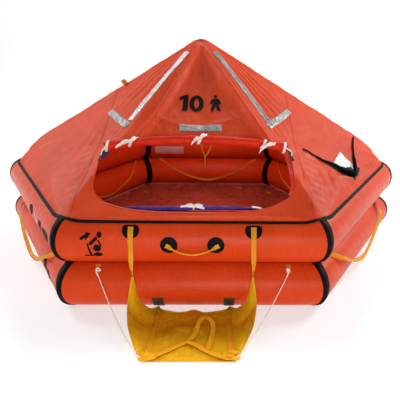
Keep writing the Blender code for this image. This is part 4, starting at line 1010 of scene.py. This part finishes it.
def makeRamp():
    w = np.concatenate([np.linspace(-1, -0.5, ramp["gusset"], endpoint=False),
                        np.linspace(-0.5, 0.5, ramp["middle"], endpoint=False),
                        np.linspace(0.5, 1, ramp["gusset"] + 1)])
    v = np.linspace(0, 1, ramp["rows"])
    points = rampPoint(w[None], v[:, None])
    uv = points[..., :2].copy()
    sheet = gridPiece("rampCloth", points, "rampFabric", uv, recalculate=False)
    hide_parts("boarding_ramp")
    bands = []
    for sign in (-1, 1):
        line = rampPoint(np.full(40, sign * 0.475), np.linspace(0.012, 0.985, 40))
        bands.append(rampStrap("rampBand", line, 0.030, 0.0024))
        rim = rampPoint(np.full(44, sign * 0.992), np.linspace(0.01, 0.985, 44))
        rim[:, 2] = np.maximum(rim[:, 2], 0.0065)
        bands.append(sweep("rampRim", smoothPath(rim, 0.006), bandSection(0.014, 0.0032), "rampWebbing",
                           across=(sign * 0.8, 0, 0.6)))
    lip = rampPoint(np.linspace(-0.49, 0.49, 60), np.full(60, 0.992))
    bands.append(rampStrap("rampLip", lip, 0.018, 0.0015))
    back = rampPoint(np.linspace(-0.49, 0.49, 80), np.full(80, 0.006))
    bands.append(sweep("rampHem", smoothPath(back + (0, 0, 0.001), 0.006), bandSection(0.010, 0.003), "rampWebbing",
                       across=(0, 1, 0)))
    trim = joined("rampBands", bands)
    left = [(-0.200, -1.752, 0.010), (-0.160, -1.735, 0.013), (-0.078, -1.672, 0.013), (-0.010, -1.615, 0.013),
            (0.022, -1.560, 0.022), (0.040, -1.495, 0.046), (0.062, -1.462, 0.058), (0.092, -1.462, 0.054),
            (0.118, -1.500, 0.034), (0.114, -1.570, 0.015), (0.102, -1.640, 0.012), (0.094, -1.690, 0.012)]
    right = [(-0.020, -1.630, 0.016), (0.035, -1.660, 0.014), (0.080, -1.700, 0.012), (0.140, -1.740, 0.012),
             (0.200, -1.758, 0.010)]
    belts = []
    for name, line, lift in (("bridleLeft", left, 0.0035), ("bridleRight", right, 0.0065)):
        line = smoothPath(line, 0.012)
        ground = rampPoint(np.linspace(-0.98, 0.98, 160)[None], np.linspace(0, 1, 120)[:, None]).reshape(-1, 3)
        for spot in line:
            near = np.hypot(ground[:, 0] - spot[0], ground[:, 1] - spot[1]) < 0.013
            spot[2] = max(spot[2], ground[near, 2].max() if near.any() else 0)
        belts.append(rampStrap(name, line, 0.027, lift))
    for sign in (-1, 1):
        blob = [(sign * 0.172, -1.742, 0.018), (sign * 0.200, -1.760, 0.022), (sign * 0.230, -1.764, 0.021),
                (sign * 0.248, -1.756, 0.018), (sign * 0.243, -1.742, 0.022), (sign * 0.216, -1.738, 0.026),
                (sign * 0.200, -1.750, 0.028), (sign * 0.222, -1.758, 0.030)]
        blob = smoothPath(blob, 0.004)
        belts.append(sweep("cornerKnot", blob, bandSection(0.036, 0.009), "rampWebbing", across=(0, 0.9, 0.4),
                             twist=np.linspace(0, 0.8, len(blob))))
    bridle = joined("rampBridle", belts)


# White cords from the tabs to the ramp's front corners
rampCord = {"diameter": 0.006, "tabPlace": 0.550, "start": 44.46, "knot": 0.16, "end": (0.262, -1.752, 0.0245),
            "sag": {"Left": 0.055, "Right": 0.030}}


def makeCords():
    for hand, sign in (("Left", -1), ("Right", 1)):
        angle = radians(rampCord["start"])
        reach = hull["radius"] + 0.0003 + rampCord["diameter"] / 2
        start = sidePoint("front", sign * rampCord["tabPlace"], reach * cos(angle),
                          hull["lowerCentre"] + reach * sin(angle))
        end = np.array(rampCord["end"]) * (sign, 1, 1)
        share = np.linspace(0, 1, 41)[:, None]
        route = start + (end - start) * share - np.array((0, 0, rampCord["sag"][hand])) * 4 * share * (1 - share)
        path = smoothPath(route, 0.0025)
        cord = sweep("rampCord" + hand, path, roundSection(rampCord["diameter"] / 2, 12), "whiteCord",
                     strands=(3, 0.016, 0.10))
        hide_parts("ramp_cord_" + hand.lower())
        ahead = unit(route[2] - route[0])
        side = unit(np.cross(ahead, (0, -1, 0.3)))
        high = angle + rampCord["knot"]
        top = sidePoint("front", sign * rampCord["tabPlace"], (reach + 0.0055) * cos(high),
                        hull["lowerCentre"] + (reach + 0.0055) * sin(high))
        lump = [top + side * 0.005, top + ahead * 0.010 + side * 0.008, top + ahead * 0.022 - side * 0.008,
                top + ahead * 0.010 - side * 0.010, top + side * 0.003 + (0, -0.006, 0),
                start + ahead * 0.004 + side * 0.003 + (0, -0.003, 0.002), start + ahead * 0.022]
        knot = sweep("cordKnot" + hand, smoothPath(lump, 0.003), roundSection(0.0042, 10), "whiteCord",
                     strands=(3, 0.014, 0.12))
        far = [end - ahead * 0 + (sign * 0.004, 0.002, 0.004), end + (sign * -0.010, -0.006, 0.002),
               end + (sign * -0.018, -0.010, -0.006), end + (sign * -0.012, 0.002, -0.010), end + (sign * -0.002, 0.004, -0.002)]
        eye = sweep("cordEnd" + hand, smoothPath(far, 0.003), roundSection(0.0036, 10), "whiteCord",
                    strands=(3, 0.014, 0.12))
        tab = [sidePoint("front", sign * rampCord["tabPlace"], (hull["radius"] + 0.0016) * cos(radians(a)),
                         hull["lowerCentre"] + (hull["radius"] + 0.0016) * sin(radians(a))) for a in (66, 60, 54, 48, 45)]
        strap = sweep("cordTab" + hand, smoothPath(tab, 0.004), bandSection(0.028, 0.0024), "yellowWebbing",
                      across=(1, 0, 0))
        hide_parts("cord_tab_" + hand.lower())


# Webbing lifelines hung outside and inside the hull
lifelines = {"width": 0.030, "innerWidth": 0.020, "halfSpan": 0.560, "low": 0.070, "backLow": 0.190, "innerHalf": 0.500, "innerLow": 0.084}


def makeLifelines():
    outside = [(name, 1, lifelines["backLow"] if name == "back" else lifelines["low"])
               for name in sideAngles if name != "front"]
    inside = [(name, -1, lifelines["innerLow"]) for name in ("backLeft", "back", "backRight")]
    nodes = {"backLeft": "back_left", "backRight": "back_right", "frontLeft": "front_left",
             "frontRight": "front_right", "back": "back"}
    for sideName, sign, low in outside + inside:
        half = lifelines["halfSpan"] if sign > 0 else lifelines["innerHalf"]
        hang, crease = hull["radius"] + 0.006, 0.0701 if sign > 0 else 0.0690
        s = np.linspace(-half, half, 25)
        rim = 0.80 if sign > 0 else 0.55
        wide = lifelines["width"] if sign > 0 else lifelines["innerWidth"]
        share = np.abs(s) / half
        z = low + (hull["contact"] - low) * share ** (1.55 if sign > 0 else 1.6)
        out = hang + (0.016 * (1 - share ** 2) if sign > 0 else 0) - (hang - crease) * np.maximum(0, (share - rim) / (1 - rim)) ** 1.6
        path = smoothPath(sidePoint(sideName, s, sign * out, z), 0.008)
        angle = radians(sideAngles[sideName])
        across = np.cross((cos(angle), sin(angle), 0), unit(np.gradient(path, axis=0)))
        t = np.linspace(-1, 1, len(path))
        turned = {"frontLeft": 0.75, "frontRight": 0.75}.get(sideName, 0.0) if sign > 0 else 0.0
        twist = (turned + 0.28 * np.sin(5 * t + len(sideName))) * (1 - t ** 4)
        name = ("lifeline" if sign > 0 else "innerLifeline") + sideName[0].upper() + sideName[1:]
        piece = sweep(name, path, bandSection(wide, 0.0022), "yellowWebbing", across=across, twist=twist)
        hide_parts(("lifeline_" if sign > 0 else "inner_lifeline_") + nodes[sideName])


# Inside: glossy floor sheet, its tie points, the label and the hanging Y of webbing
floorSheet = {"rows": 60, "columns": 40, "wrinkle": 0.0030, "ties": ((-0.60, 0.78), (-0.305, 0.95), (0.33, 0.95),
                                                                    (0.62, 0.80))}


def makeInside():
    columns, rows = floorSheet["columns"], floorSheet["rows"]
    low = hull["lowerCentre"] - 0.016
    reachMost = hull["side"] - (sqrt(hull["radius"] ** 2 - low ** 2) + 0.004) / cos(pi / 6)
    rim = []
    for k in range(6):
        for share in np.linspace(0, 1, columns, endpoint=False):
            a, b = radians(60 * k), radians(60 * k + 60)
            rim.append((cos(a) + (cos(b) - cos(a)) * share, sin(a) + (sin(b) - sin(a)) * share))
    rim = np.array(rim)
    reach = np.linspace(0.01, 1, rows)[:, None]
    x, y = rim[:, 0] * reach * reachMost, rim[:, 1] * reach * reachMost
    z = 0.0125 + 0.0045 * smoothStep(reach, 0.93, 1.0) + 0 * x
    flat = np.stack([x, y, 0 * x], -1)
    folds = np.abs(ripples(flat, 0.35, 91)) * floorSheet["wrinkle"] + 0.0012 * np.abs(ripples(flat, 0.12, 92))
    for start, end, width, lift in (((-0.9, 0.2), (-0.3, 0.9), 0.02, 0.007), ((0.9, 0.1), (0.35, 0.9), 0.02, 0.007),
                                    ((-0.6, -0.2), (0.5, 0.3), 0.018, 0.005), ((-0.2, 0.95), (0.4, 0.4), 0.02, 0.004),
                                    ((-0.8, -0.5), (0.2, -0.8), 0.02, 0.005)):
        du, dv = end[0] - start[0], end[1] - start[1]
        share = np.clip(((x - start[0]) * du + (y - start[1]) * dv) / (du * du + dv * dv), 0, 1)
        away = np.hypot(x - start[0] - du * share, y - start[1] - dv * share)
        folds = folds + lift * np.exp(-(away / width) ** 2) * np.sin(pi * share) ** 0.7
    z = z + folds * smoothStep(1 - reach, 0.0, 0.05)
    points = np.stack([x, y, z], -1).reshape(-1, 3)
    quads, _ = gridQuads(rows, len(rim), loopColumns=True)
    points = np.vstack([points, [[0, 0, float(z[0].mean())]]])
    faces = quads.tolist() + [[len(points) - 1, i, (i + 1) % len(rim)] for i in range(len(rim))]
    floorPiece = place("floorSheet", np.column_stack([points, points[:, :2]]), faces, "floorFabric")
    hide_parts("floor")
    # pale strips where the floor meets the back tubes: painted reflection of light along that junction
    for sideName in ("backLeft", "back", "backRight"):
        s = np.linspace(-0.57, 0.57, 40)
        out = -(sqrt(hull["radius"] ** 2 - low ** 2) + 0.012)
        edge = smoothPath(sidePoint(sideName, s, out + 0.002 * np.sin(9 * s), 0.0205), 0.02)
        sweep("floorEdgePaintedGlint" + sideName, edge, bandSection(0.010, 0.003), "paleEdge", across=(0, 0, 1))
    ties = []
    for x0, y0 in floorSheet["ties"]:
        for turnBy in (0.3, 1.9):
            reachTo = 0.034
            dx, dy = cos(turnBy) * reachTo, sin(turnBy) * reachTo
            path = [(x0 - dx, y0 - dy, 0.026), (x0 - dx / 2, y0 - dy / 2, 0.030), (x0, y0, 0.036),
                    (x0 + dx / 2, y0 + dy / 2, 0.030), (x0 + dx, y0 + dy, 0.026)]
            ties.append(sweep("floorTie", smoothPath(path, 0.004), bandSection(0.014, 0.002), "yellowWebbing",
                              across=(-dy, dx, 0)))
    joined("floorTies", ties)
    s = np.linspace(0.240, 0.530, 30)
    theta = np.linspace(pi + radians(17) - 0.042 / 0.15, pi + radians(17) + 0.042 / 0.15, 9)
    radius = hull["radius"] + 0.0022
    points = sidePoint("back", s[:, None], radius * np.cos(theta)[None], hull["upperCentre"] + radius * np.sin(theta)[None])
    uv = np.stack(np.broadcast_arrays(s[:, None], radius * theta[None]), -1)
    label = gridPiece("insideLabel", points, "blankLabel", uv, recalculate=False)
    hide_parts("inside_label")
    hanging = []
    for a in (-0.064, 0.043):
        path = [(a, 1.043, 0.475), (a * 0.7 - 0.006, 1.040, 0.40), (-0.022, 1.037, 0.327)]
        hanging.append(sweep("webArm", smoothPath(path, 0.006), bandSection(0.014, 0.002), "yellowWebbing",
                             across=(1, 0, 0.2)))
    hanging.append(sweep("webLeg", smoothPath([(-0.022, 1.037, 0.332), (-0.023, 1.034, 0.27), (-0.024, 1.031, 0.205)], 0.006),
                         bandSection(0.016, 0.002), "yellowWebbing", across=(1, 0, 0)))
    joined("insideWebbing", hanging)


# Print of a person climbing in, and black patches on the left-hand side
def tubeMark(name, sideName, along, degrees, size, finishName, shape, lift=0.0012, cell=0.0025,
             centre=hull["upperCentre"]):
    u = np.linspace(-size[0], size[0], int(2 * size[0] / cell) + 1)
    v = np.linspace(-size[1], size[1], int(2 * size[1] / cell) + 1)
    gridU, gridV = np.meshgrid(u, v, indexing="ij")
    radius = hull["radius"] + lift
    theta = radians(degrees) + gridV / radius
    points = sidePoint(sideName, along + gridU, radius * np.cos(theta), centre + radius * np.sin(theta))
    sheet = np.concatenate([points, gridU[..., None], gridV[..., None]], -1).reshape(-1, 5)
    quads, _ = gridQuads(len(u), len(v))
    points, faces = clipGrid(sheet, shape(gridU, gridV).ravel(), quads)
    return place(name, points, faces, finishName)


def makePrints():
    def climber(u, v):
        u, v = u / 0.64, v / 0.80
        made = capsule(u, v, (-0.092, 0.050), (-0.046, 0.070), 0.0115)
        made = np.maximum(made, np.minimum(0.60 * (u + 0.052) + 0.026 - np.abs(v - 0.074 - 0.42 * (u + 0.035)) - 1.2 * (u + 0.052),
                                           u + 0.056))
        made = np.maximum(made, circle(u, v, 0.061, 0.076, 0.0215))
        made = np.maximum(made, capsule(u, v, (-0.015, 0.014), (0.032, 0.050), 0.0125))
        made = np.maximum(made, capsule(u, v, (0.052, 0.038), (0.074, -0.002), 0.0062))
        made = np.maximum(made, 0.030 * (1 - np.hypot((u - 0.039) / 0.034, (v + 0.020) / 0.027)))
        made = np.maximum(made, capsule(u, v, (-0.040, 0.010), (-0.030, -0.030), 0.0075))
        made = np.maximum(made, capsule(u, v, (-0.030, -0.030), (-0.020, -0.074), 0.0095))
        made = np.maximum(made, capsule(u, v, (-0.072, -0.086), (0.010, -0.083), 0.0060))
        return np.maximum(made, 0.019 * (1 - np.hypot((u - 0.042) / 0.037, (v + 0.074) / 0.019)))

    tubeMark("boardingPrint", "front", -0.55, 2.0, (0.074, 0.084), "printInk", climber, cell=0.0018)
    lower = hull["lowerCentre"]
    marks = [("sidePatchHigh", 0.17, 6, "blackRubber", hull["upperCentre"],
              lambda u, v: 0.02 * (1 - np.hypot((u - 0.3 * v) / 0.050, v / 0.038))),
             ("sidePatchTail", 0.33, 2, "whiteCord", hull["upperCentre"],
              lambda u, v: capsule(u, v, (-0.05, 0.022), (0.025, -0.018), 0.006)),
             ("sidePatchLow", 0.45, 3, "blackRubber", hull["upperCentre"],
              lambda u, v: np.maximum(slab(u, v, (-0.038, -0.022), (0.036, 0.026)),
                                      slab(u, v, (-0.008, -0.045), (0.026, 0.0)))),
             ("bandWedge", 0.605, -14, "blackRubber", hull["upperCentre"],
              lambda u, v: np.minimum(0.03 + v - np.abs(u) * 0.8, 0.045 - v * 0.4 - np.abs(u) * 0.3)),
             ("bandTag", 0.625, -24, "whiteCord", hull["upperCentre"],
              lambda u, v: 0.02 * (1 - np.hypot(u / 0.022, v / 0.024))),
             ("lowPatchHigh", 0.43, 15, "blackRubber", lower,
              lambda u, v: np.minimum(0.036 - np.abs(u + 0.5 * v), 0.034 - np.abs(v))),
             ("lowPatchLow", 0.53, -1.5, "blackRubber", lower,
              lambda u, v: np.minimum(0.026 - np.abs(u + 0.4 * v), 0.030 - np.abs(v)))]
    for name, along, degrees, finishName, centre, shape in marks:
        tubeMark(name, "frontLeft", along, degrees, (0.075, 0.065), finishName, shape, lift=0.0016, centre=centre)
    tubeMark("creaseLining", "front", 0.52, 76, (0.115, 0.012), "liningFabric",
             lambda u, v: 0.003 - np.abs(v) + 0 * u, lift=0.003, centre=lower)


# Bands taped round the mitred corners, and the tape along the canopy's edge


def makeTaping():
    theta = np.linspace(0, 2 * pi, 73)
    names = {"right": 0, "back_right": 60, "back_left": 120, "left": 180, "front_left": 240, "front_right": 300}
    for name, corner in names.items():
        rings = []
        for centre, low, high in ((hull["lowerCentre"], 0.0004, hull["contact"] - 0.0006),
                                  (hull["upperCentre"], hull["contact"] + 0.0006, 2.0)):
            columns = []
            side = {"front_right": 1, "front_left": -1}.get(name, 0)
            for offset in np.linspace(-1, 1, 9):
                lift = taping["lift"] * (0.3 if abs(offset) == 1 else 1) - 0.0001
                radius = hull["radius"] + lift
                reach = apothem + radius * np.cos(theta)
                away = taping["half"] * offset + taping["shift"] * side
                along = reach * np.tan(pi / 6) - abs(away)
                angle = radians(corner + (30 if away > 0 else -30))
                along = along * (-1 if away > 0 else 1)
                height = np.clip(centre + radius * np.sin(theta), low, high)
                columns.append(np.stack([reach * cos(angle) - along * sin(angle),
                                         reach * sin(angle) + along * cos(angle), height], 1))
            points = np.stack(columns, 1)
            uv = np.stack(np.broadcast_arrays(theta[:, None] * 0.15, np.linspace(0, 0.05, 9)[None]), -1)
            rings.append(gridPiece("cornerBand", points, "blackRubber", uv, recalculate=False))
        band = joined("cornerBand" + name.title().replace("_", ""), rings)
        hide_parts("corner_band_" + name)
    rows = []
    for degrees in np.linspace(taping["edgeLow"], taping["edgeHigh"], 7):
        outward = (hull["radius"] + taping["edgeLift"]) * cos(radians(degrees))
        inner = apothem + outward - taping["cornerRadius"]
        ring = []
        for corner in range(0, 360, 60):
            start = inner / cos(pi / 6) * np.array([cos(radians(corner)), sin(radians(corner))])
            for turn in np.radians(np.linspace(corner - 30, corner + 30, 13)):
                ring.append(start + taping["cornerRadius"] * np.array([cos(turn), sin(turn)]))
        ring = np.array(ring)
        ring = np.concatenate([a + (b - a) * np.linspace(0, 1, 12 if k % 13 == 12 else 2)[:-1, None]
                               for k, (a, b) in enumerate(zip(ring, np.roll(ring, -1, 0)))])
        beyond = np.max([ring @ np.array([cos(radians(a)), sin(radians(a))]) - apothem
                         for a in sideAngles.values()], 0)
        tube = hull["upperCentre"] + np.sqrt((hull["radius"] + taping["edgeLift"]) ** 2 - beyond ** 2)
        cloth = np.where(beyond < edgeOut + 0.006, canopyHeight(ring[:, 0], ring[:, 1]) + 0.0042, 0)
        height = np.maximum(tube, cloth)
        height = sum(np.roll(height, k) for k in range(-2, 3)) / 5
        rows.append(np.column_stack([ring, height]))
    points = np.stack(rows, 0)
    points[[0, -1], :, 2] -= 0.0015
    uv = np.stack(np.broadcast_arrays(np.linspace(0, 8.5, points.shape[1] + 1)[None],
                                      np.linspace(0, 0.02, 7)[:, None]), -1)
    tape = gridPiece("canopyEdgeTape", points, "blackRubber", uv, loopColumns=True)
    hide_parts("canopy_tape")


# Arch under the canopy, ramp anchors, righting strap, folded ballast pockets and the cylinder's belts
below = {"archRadius": 0.0545, "archDepth": 0.066, "strap": (0.060, 0.0026), "pocket": (0.46, 0.30, 0.0046),
         "pocketPlace": (0.50, 0.52), "cylinder": (0.0670, 1.3896, 0.0670)}


def makeBelow():
    outer, tip = canopyCorners["elbowRight"][[0, 2]], canopyCorners["right"][[0, 2]]
    ridge, foot = unit(outer - (0.050, canopy["crown"])), unit(tip - outer)
    first, second = (outer + np.array((v[1], -v[0])) * below["archDepth"] for v in (ridge, foot))
    gap, turned = second - first, ridge[0] * foot[1] - ridge[1] * foot[0]
    elbow = first + ridge * ((gap[0] * foot[1] - gap[1] * foot[0]) / turned)
    half = [elbow + foot * 0.19, elbow + foot * 0.05, elbow - ridge * 0.05]
    half += [np.array((x, elbow[1] + ridge[1] / ridge[0] * (x - elbow[0]))) for x in (0.90, 0.50, 0.20, 0.10)]
    line = [(x, 0, z) for x, z in half] + [(0, 0, canopy["crown"] - 0.082)] + [(-x, 0, z) for x, z in half[::-1]]
    path = smoothPath(line, 0.02)
    swell = 1 + 0.004 * ripples(path, 0.3, 101) - 0.035 * np.exp(-((np.abs(path[:, 0]) - elbow[0]) / 0.03) ** 2)
    arch = sweep("archSkin", path, roundSection(below["archRadius"], 36), "tubeFabric", across=(0, 1, 0), scale=swell)
    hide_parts("arch_tube")
    for hand, sign in (("left", -1), ("right", 1)):
        angle = np.radians(np.linspace(-15, -62, 12))
        line = sidePoint("front", sign * 0.207, (hull["radius"] + 0.0018) * np.cos(angle),
                         hull["lowerCentre"] + (hull["radius"] + 0.0018) * np.sin(angle))
        anchor = sweep("rampAnchor" + hand.title(), line, bandSection(0.064, 0.0034), "anchorRubber", across=(1, 0, 0))
        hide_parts("ramp_anchor_" + hand)
    reach = apothem - 0.048
    y = np.linspace(-reach, reach, 90)
    strap = sweep("rightingStrap", np.stack([0 * y, y, 0.0016 + 0.0002 * np.sin(40 * y)], 1), bandSection(*below["strap"]),
                  "blackWebbing", across=(1, 0, 0))
    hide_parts("righting_strap")
    length, width, high = below["pocket"]
    x, v = np.linspace(-length / 2, length / 2, 40), np.linspace(-width / 2, width / 2, 24)
    for fore, yWay in (("front", -1), ("back", 1)):
        for hand, xWay in (("left", -1), ("right", 1)):
            across = np.concatenate([v, v[::-1]])[None]
            spots = np.stack(np.broadcast_arrays(x[:, None] + 3 * xWay, across + 5 * yWay, 0.0), -1)
            edge = smoothStep(np.minimum(length / 2 - np.abs(x[:, None]), width / 2 - np.abs(across)), 0, 0.02)
            rise = np.clip(0.5 + 0.25 * ripples(spots, 0.09, 105), 0, 1) * edge
            z = np.where(np.arange(48)[None] < 24, high - 0.0016 * rise - 0.0014 * (1 - edge), 0.0004 + 0.0008 * rise)
            points = np.stack(np.broadcast_arrays(x[:, None] + xWay * below["pocketPlace"][0],
                                                  across + yWay * below["pocketPlace"][1], z), -1)
            uv = np.stack(np.broadcast_arrays(x[:, None], np.linspace(0, 2 * width, 49)[None]), -1)
            pocket = gridPiece("ballastPocket" + fore.title() + hand.title(), points, "tubeFabric", uv,
                               loopColumns=True, capped=True)
            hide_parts("ballast_pocket_" + fore + "_" + hand)
    radius, y, z = below["cylinder"]
    turn = np.linspace(0, 2 * pi, 48, endpoint=False)
    rings = [sweep("cylinderBelt", np.stack([x + 0 * turn, y + radius * np.cos(turn), np.maximum(z + radius * np.sin(turn), 0.0013)], 1),
                   bandSection(0.030, 0.002), "blackWebbing", across=(1, 0, 0), closed=True) for x in (-0.12, 0.11)]
    joined("cylinderBelts", rings)


# Cylinder, valves and patches keep their solids; they get their finishes here
def dressNodes():
    nodeFinishes = {"topping_valve": "blackRubber", "gas_cylinder": "cylinderPaint", "cylinder_valve": "valveBrass",
                    "strap_patch_left": "blackRubber", "strap_patch_right": "blackRubber",
                    "handle_patch_left": "blackRubber", "handle_patch_right": "blackRubber"}
    for name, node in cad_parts.items():
        if name in nodeFinishes:
            node.data.materials.clear()
            node.data.materials.append(materials[nodeFinishes[name]])


# Studio: pale floor that curves up behind, and soft lights
studio = {"floor": (0.42, 0.42, 0.42), "depth": 7.0, "world": 0.21, "glow": 0.60, "rim": (26, 5, 9),
          "lights": {"ceilingLight": ((0.2, 3.3, 6.1), (0, 0, 0.4), 1.0, 118, (1, 1, 1)),
                     "frontCeilingLight": ((-0.4, -4.2, 5.2), (0, -0.4, 0.4), 2.0, 8, (1, 1, 1)),
                     "leftLight": ((-5.4, 1.6, 4.4), (-0.6, 0, 0.7), 2.2, 278, (1, 1, 1)),
                     "rightLight": ((5.4, 1.6, 4.4), (0.6, 0, 0.7), 2.2, 380, (1, 1, 1)),
                     "frontLight": ((0.3, -5.7, 0.9), (0, -1, 0.2), 1.6, 88, (1, 1, 1)),
                     "rampLight": ((0.0, -2.2, 5.5), (0, -2.36, 0), 0.06, 380, (1, 0.97, 0.9)),
                     "wallLight": ((0, 4.0, 5.0), (0, 10, 2.5), 4.0, 380, (1, 1, 1)),
                     "clothGlowFront": ((0.0, -0.36, 0.98), (0.0, -0.2, 0), 0.8, 5.6, (1, 0.66, 0.62)),
                     "clothGlowBack": ((0.0, 0.36, 1.00), (0.0, 0.3, 0), 0.7, 5.0, (1, 0.66, 0.62))}}


def makeStudio():
    y = np.concatenate([np.linspace(-30, studio["depth"], 30), studio["depth"] + 3 * np.sin(np.linspace(0.1, pi / 2, 16)),
                        np.full(8, studio["depth"] + 3)])
    z = np.concatenate([np.zeros(30), 3 - 3 * np.cos(np.linspace(0.1, pi / 2, 16)), np.linspace(3.4, 9, 8)])
    x = np.linspace(-30, 30, 24)
    points = np.stack(np.broadcast_arrays(x[None], y[:, None], z[:, None] - 0.0008), -1)
    materials["studioFloor"] = finish("studioFloor", {"light": studio["floor"], "dark": (0.40, 0.40, 0.40), "patch": 0.6,
                                                      "rough": (0.7, 0.05), "glow": studio["glow"]})
    mesh = place("studioFloor", points.reshape(-1, 3), gridQuads(*points.shape[:2])[0], "studioFloor", riding=False)
    reach, deep, high = studio["rim"]  # a pale rim far out on every side
    lift, turn = np.linspace(0, pi / 2, 12)[:, None], np.linspace(0, 2 * pi, 64, endpoint=False)[None]
    out = reach + deep * np.sin(lift)
    points = np.stack(np.broadcast_arrays(out * np.cos(turn), out * np.sin(turn), high * (1 - np.cos(lift))), -1)
    quads = gridQuads(12, 64, loopColumns=True)[0]
    place("studioRim", points.reshape(-1, 3), quads, "studioFloor", riding=False)
    world = bpy.data.worlds.new("studioWorld")
    world.use_nodes = True
    world.node_tree.nodes["Background"].inputs[0].default_value = (1, 1, 1, 1)
    world.node_tree.nodes["Background"].inputs[1].default_value = studio["world"]
    bpy.context.scene.world = world
    for name, (spot, aim, size, power, colour) in studio["lights"].items():
        data = bpy.data.lights.new(name, "SPOT" if name == "rampLight" else "AREA")
        if data.type == "SPOT":  # reaches the front of the ramp and the floor before it
            data.spot_size, data.spot_blend, data.shadow_soft_size = radians(17), 0.25, size
        else:
            data.size = size
        data.energy, data.color = power, colour
        light = bpy.data.objects.new(name, data)
        bpy.context.scene.collection.objects.link(light)
        light.location = spot
        light.rotation_euler = (Vector(aim) - Vector(spot)).to_track_quat("-Z", "Y").to_euler()
        light.visible_camera = False
    bpy.context.scene.view_settings.view_transform = "Standard"
    bpy.context.scene.view_settings.look = "None"


makeCamera()
makeCords()
print("camera and cords made")
makeStudio()
makeTubes()
print("tubes made")
makeCanopy()
makeCanopyTrim()
makeGutter()
print("canopy made")
makeDoorRoll()
makeTies()
makeSill()
print("door made")
makePatches()
makeStraps()
makeRamp()
makeLifelines()
makeInside()
makePrints()
makeTaping()
makeBelow()
dressNodes()
print("fittings made")
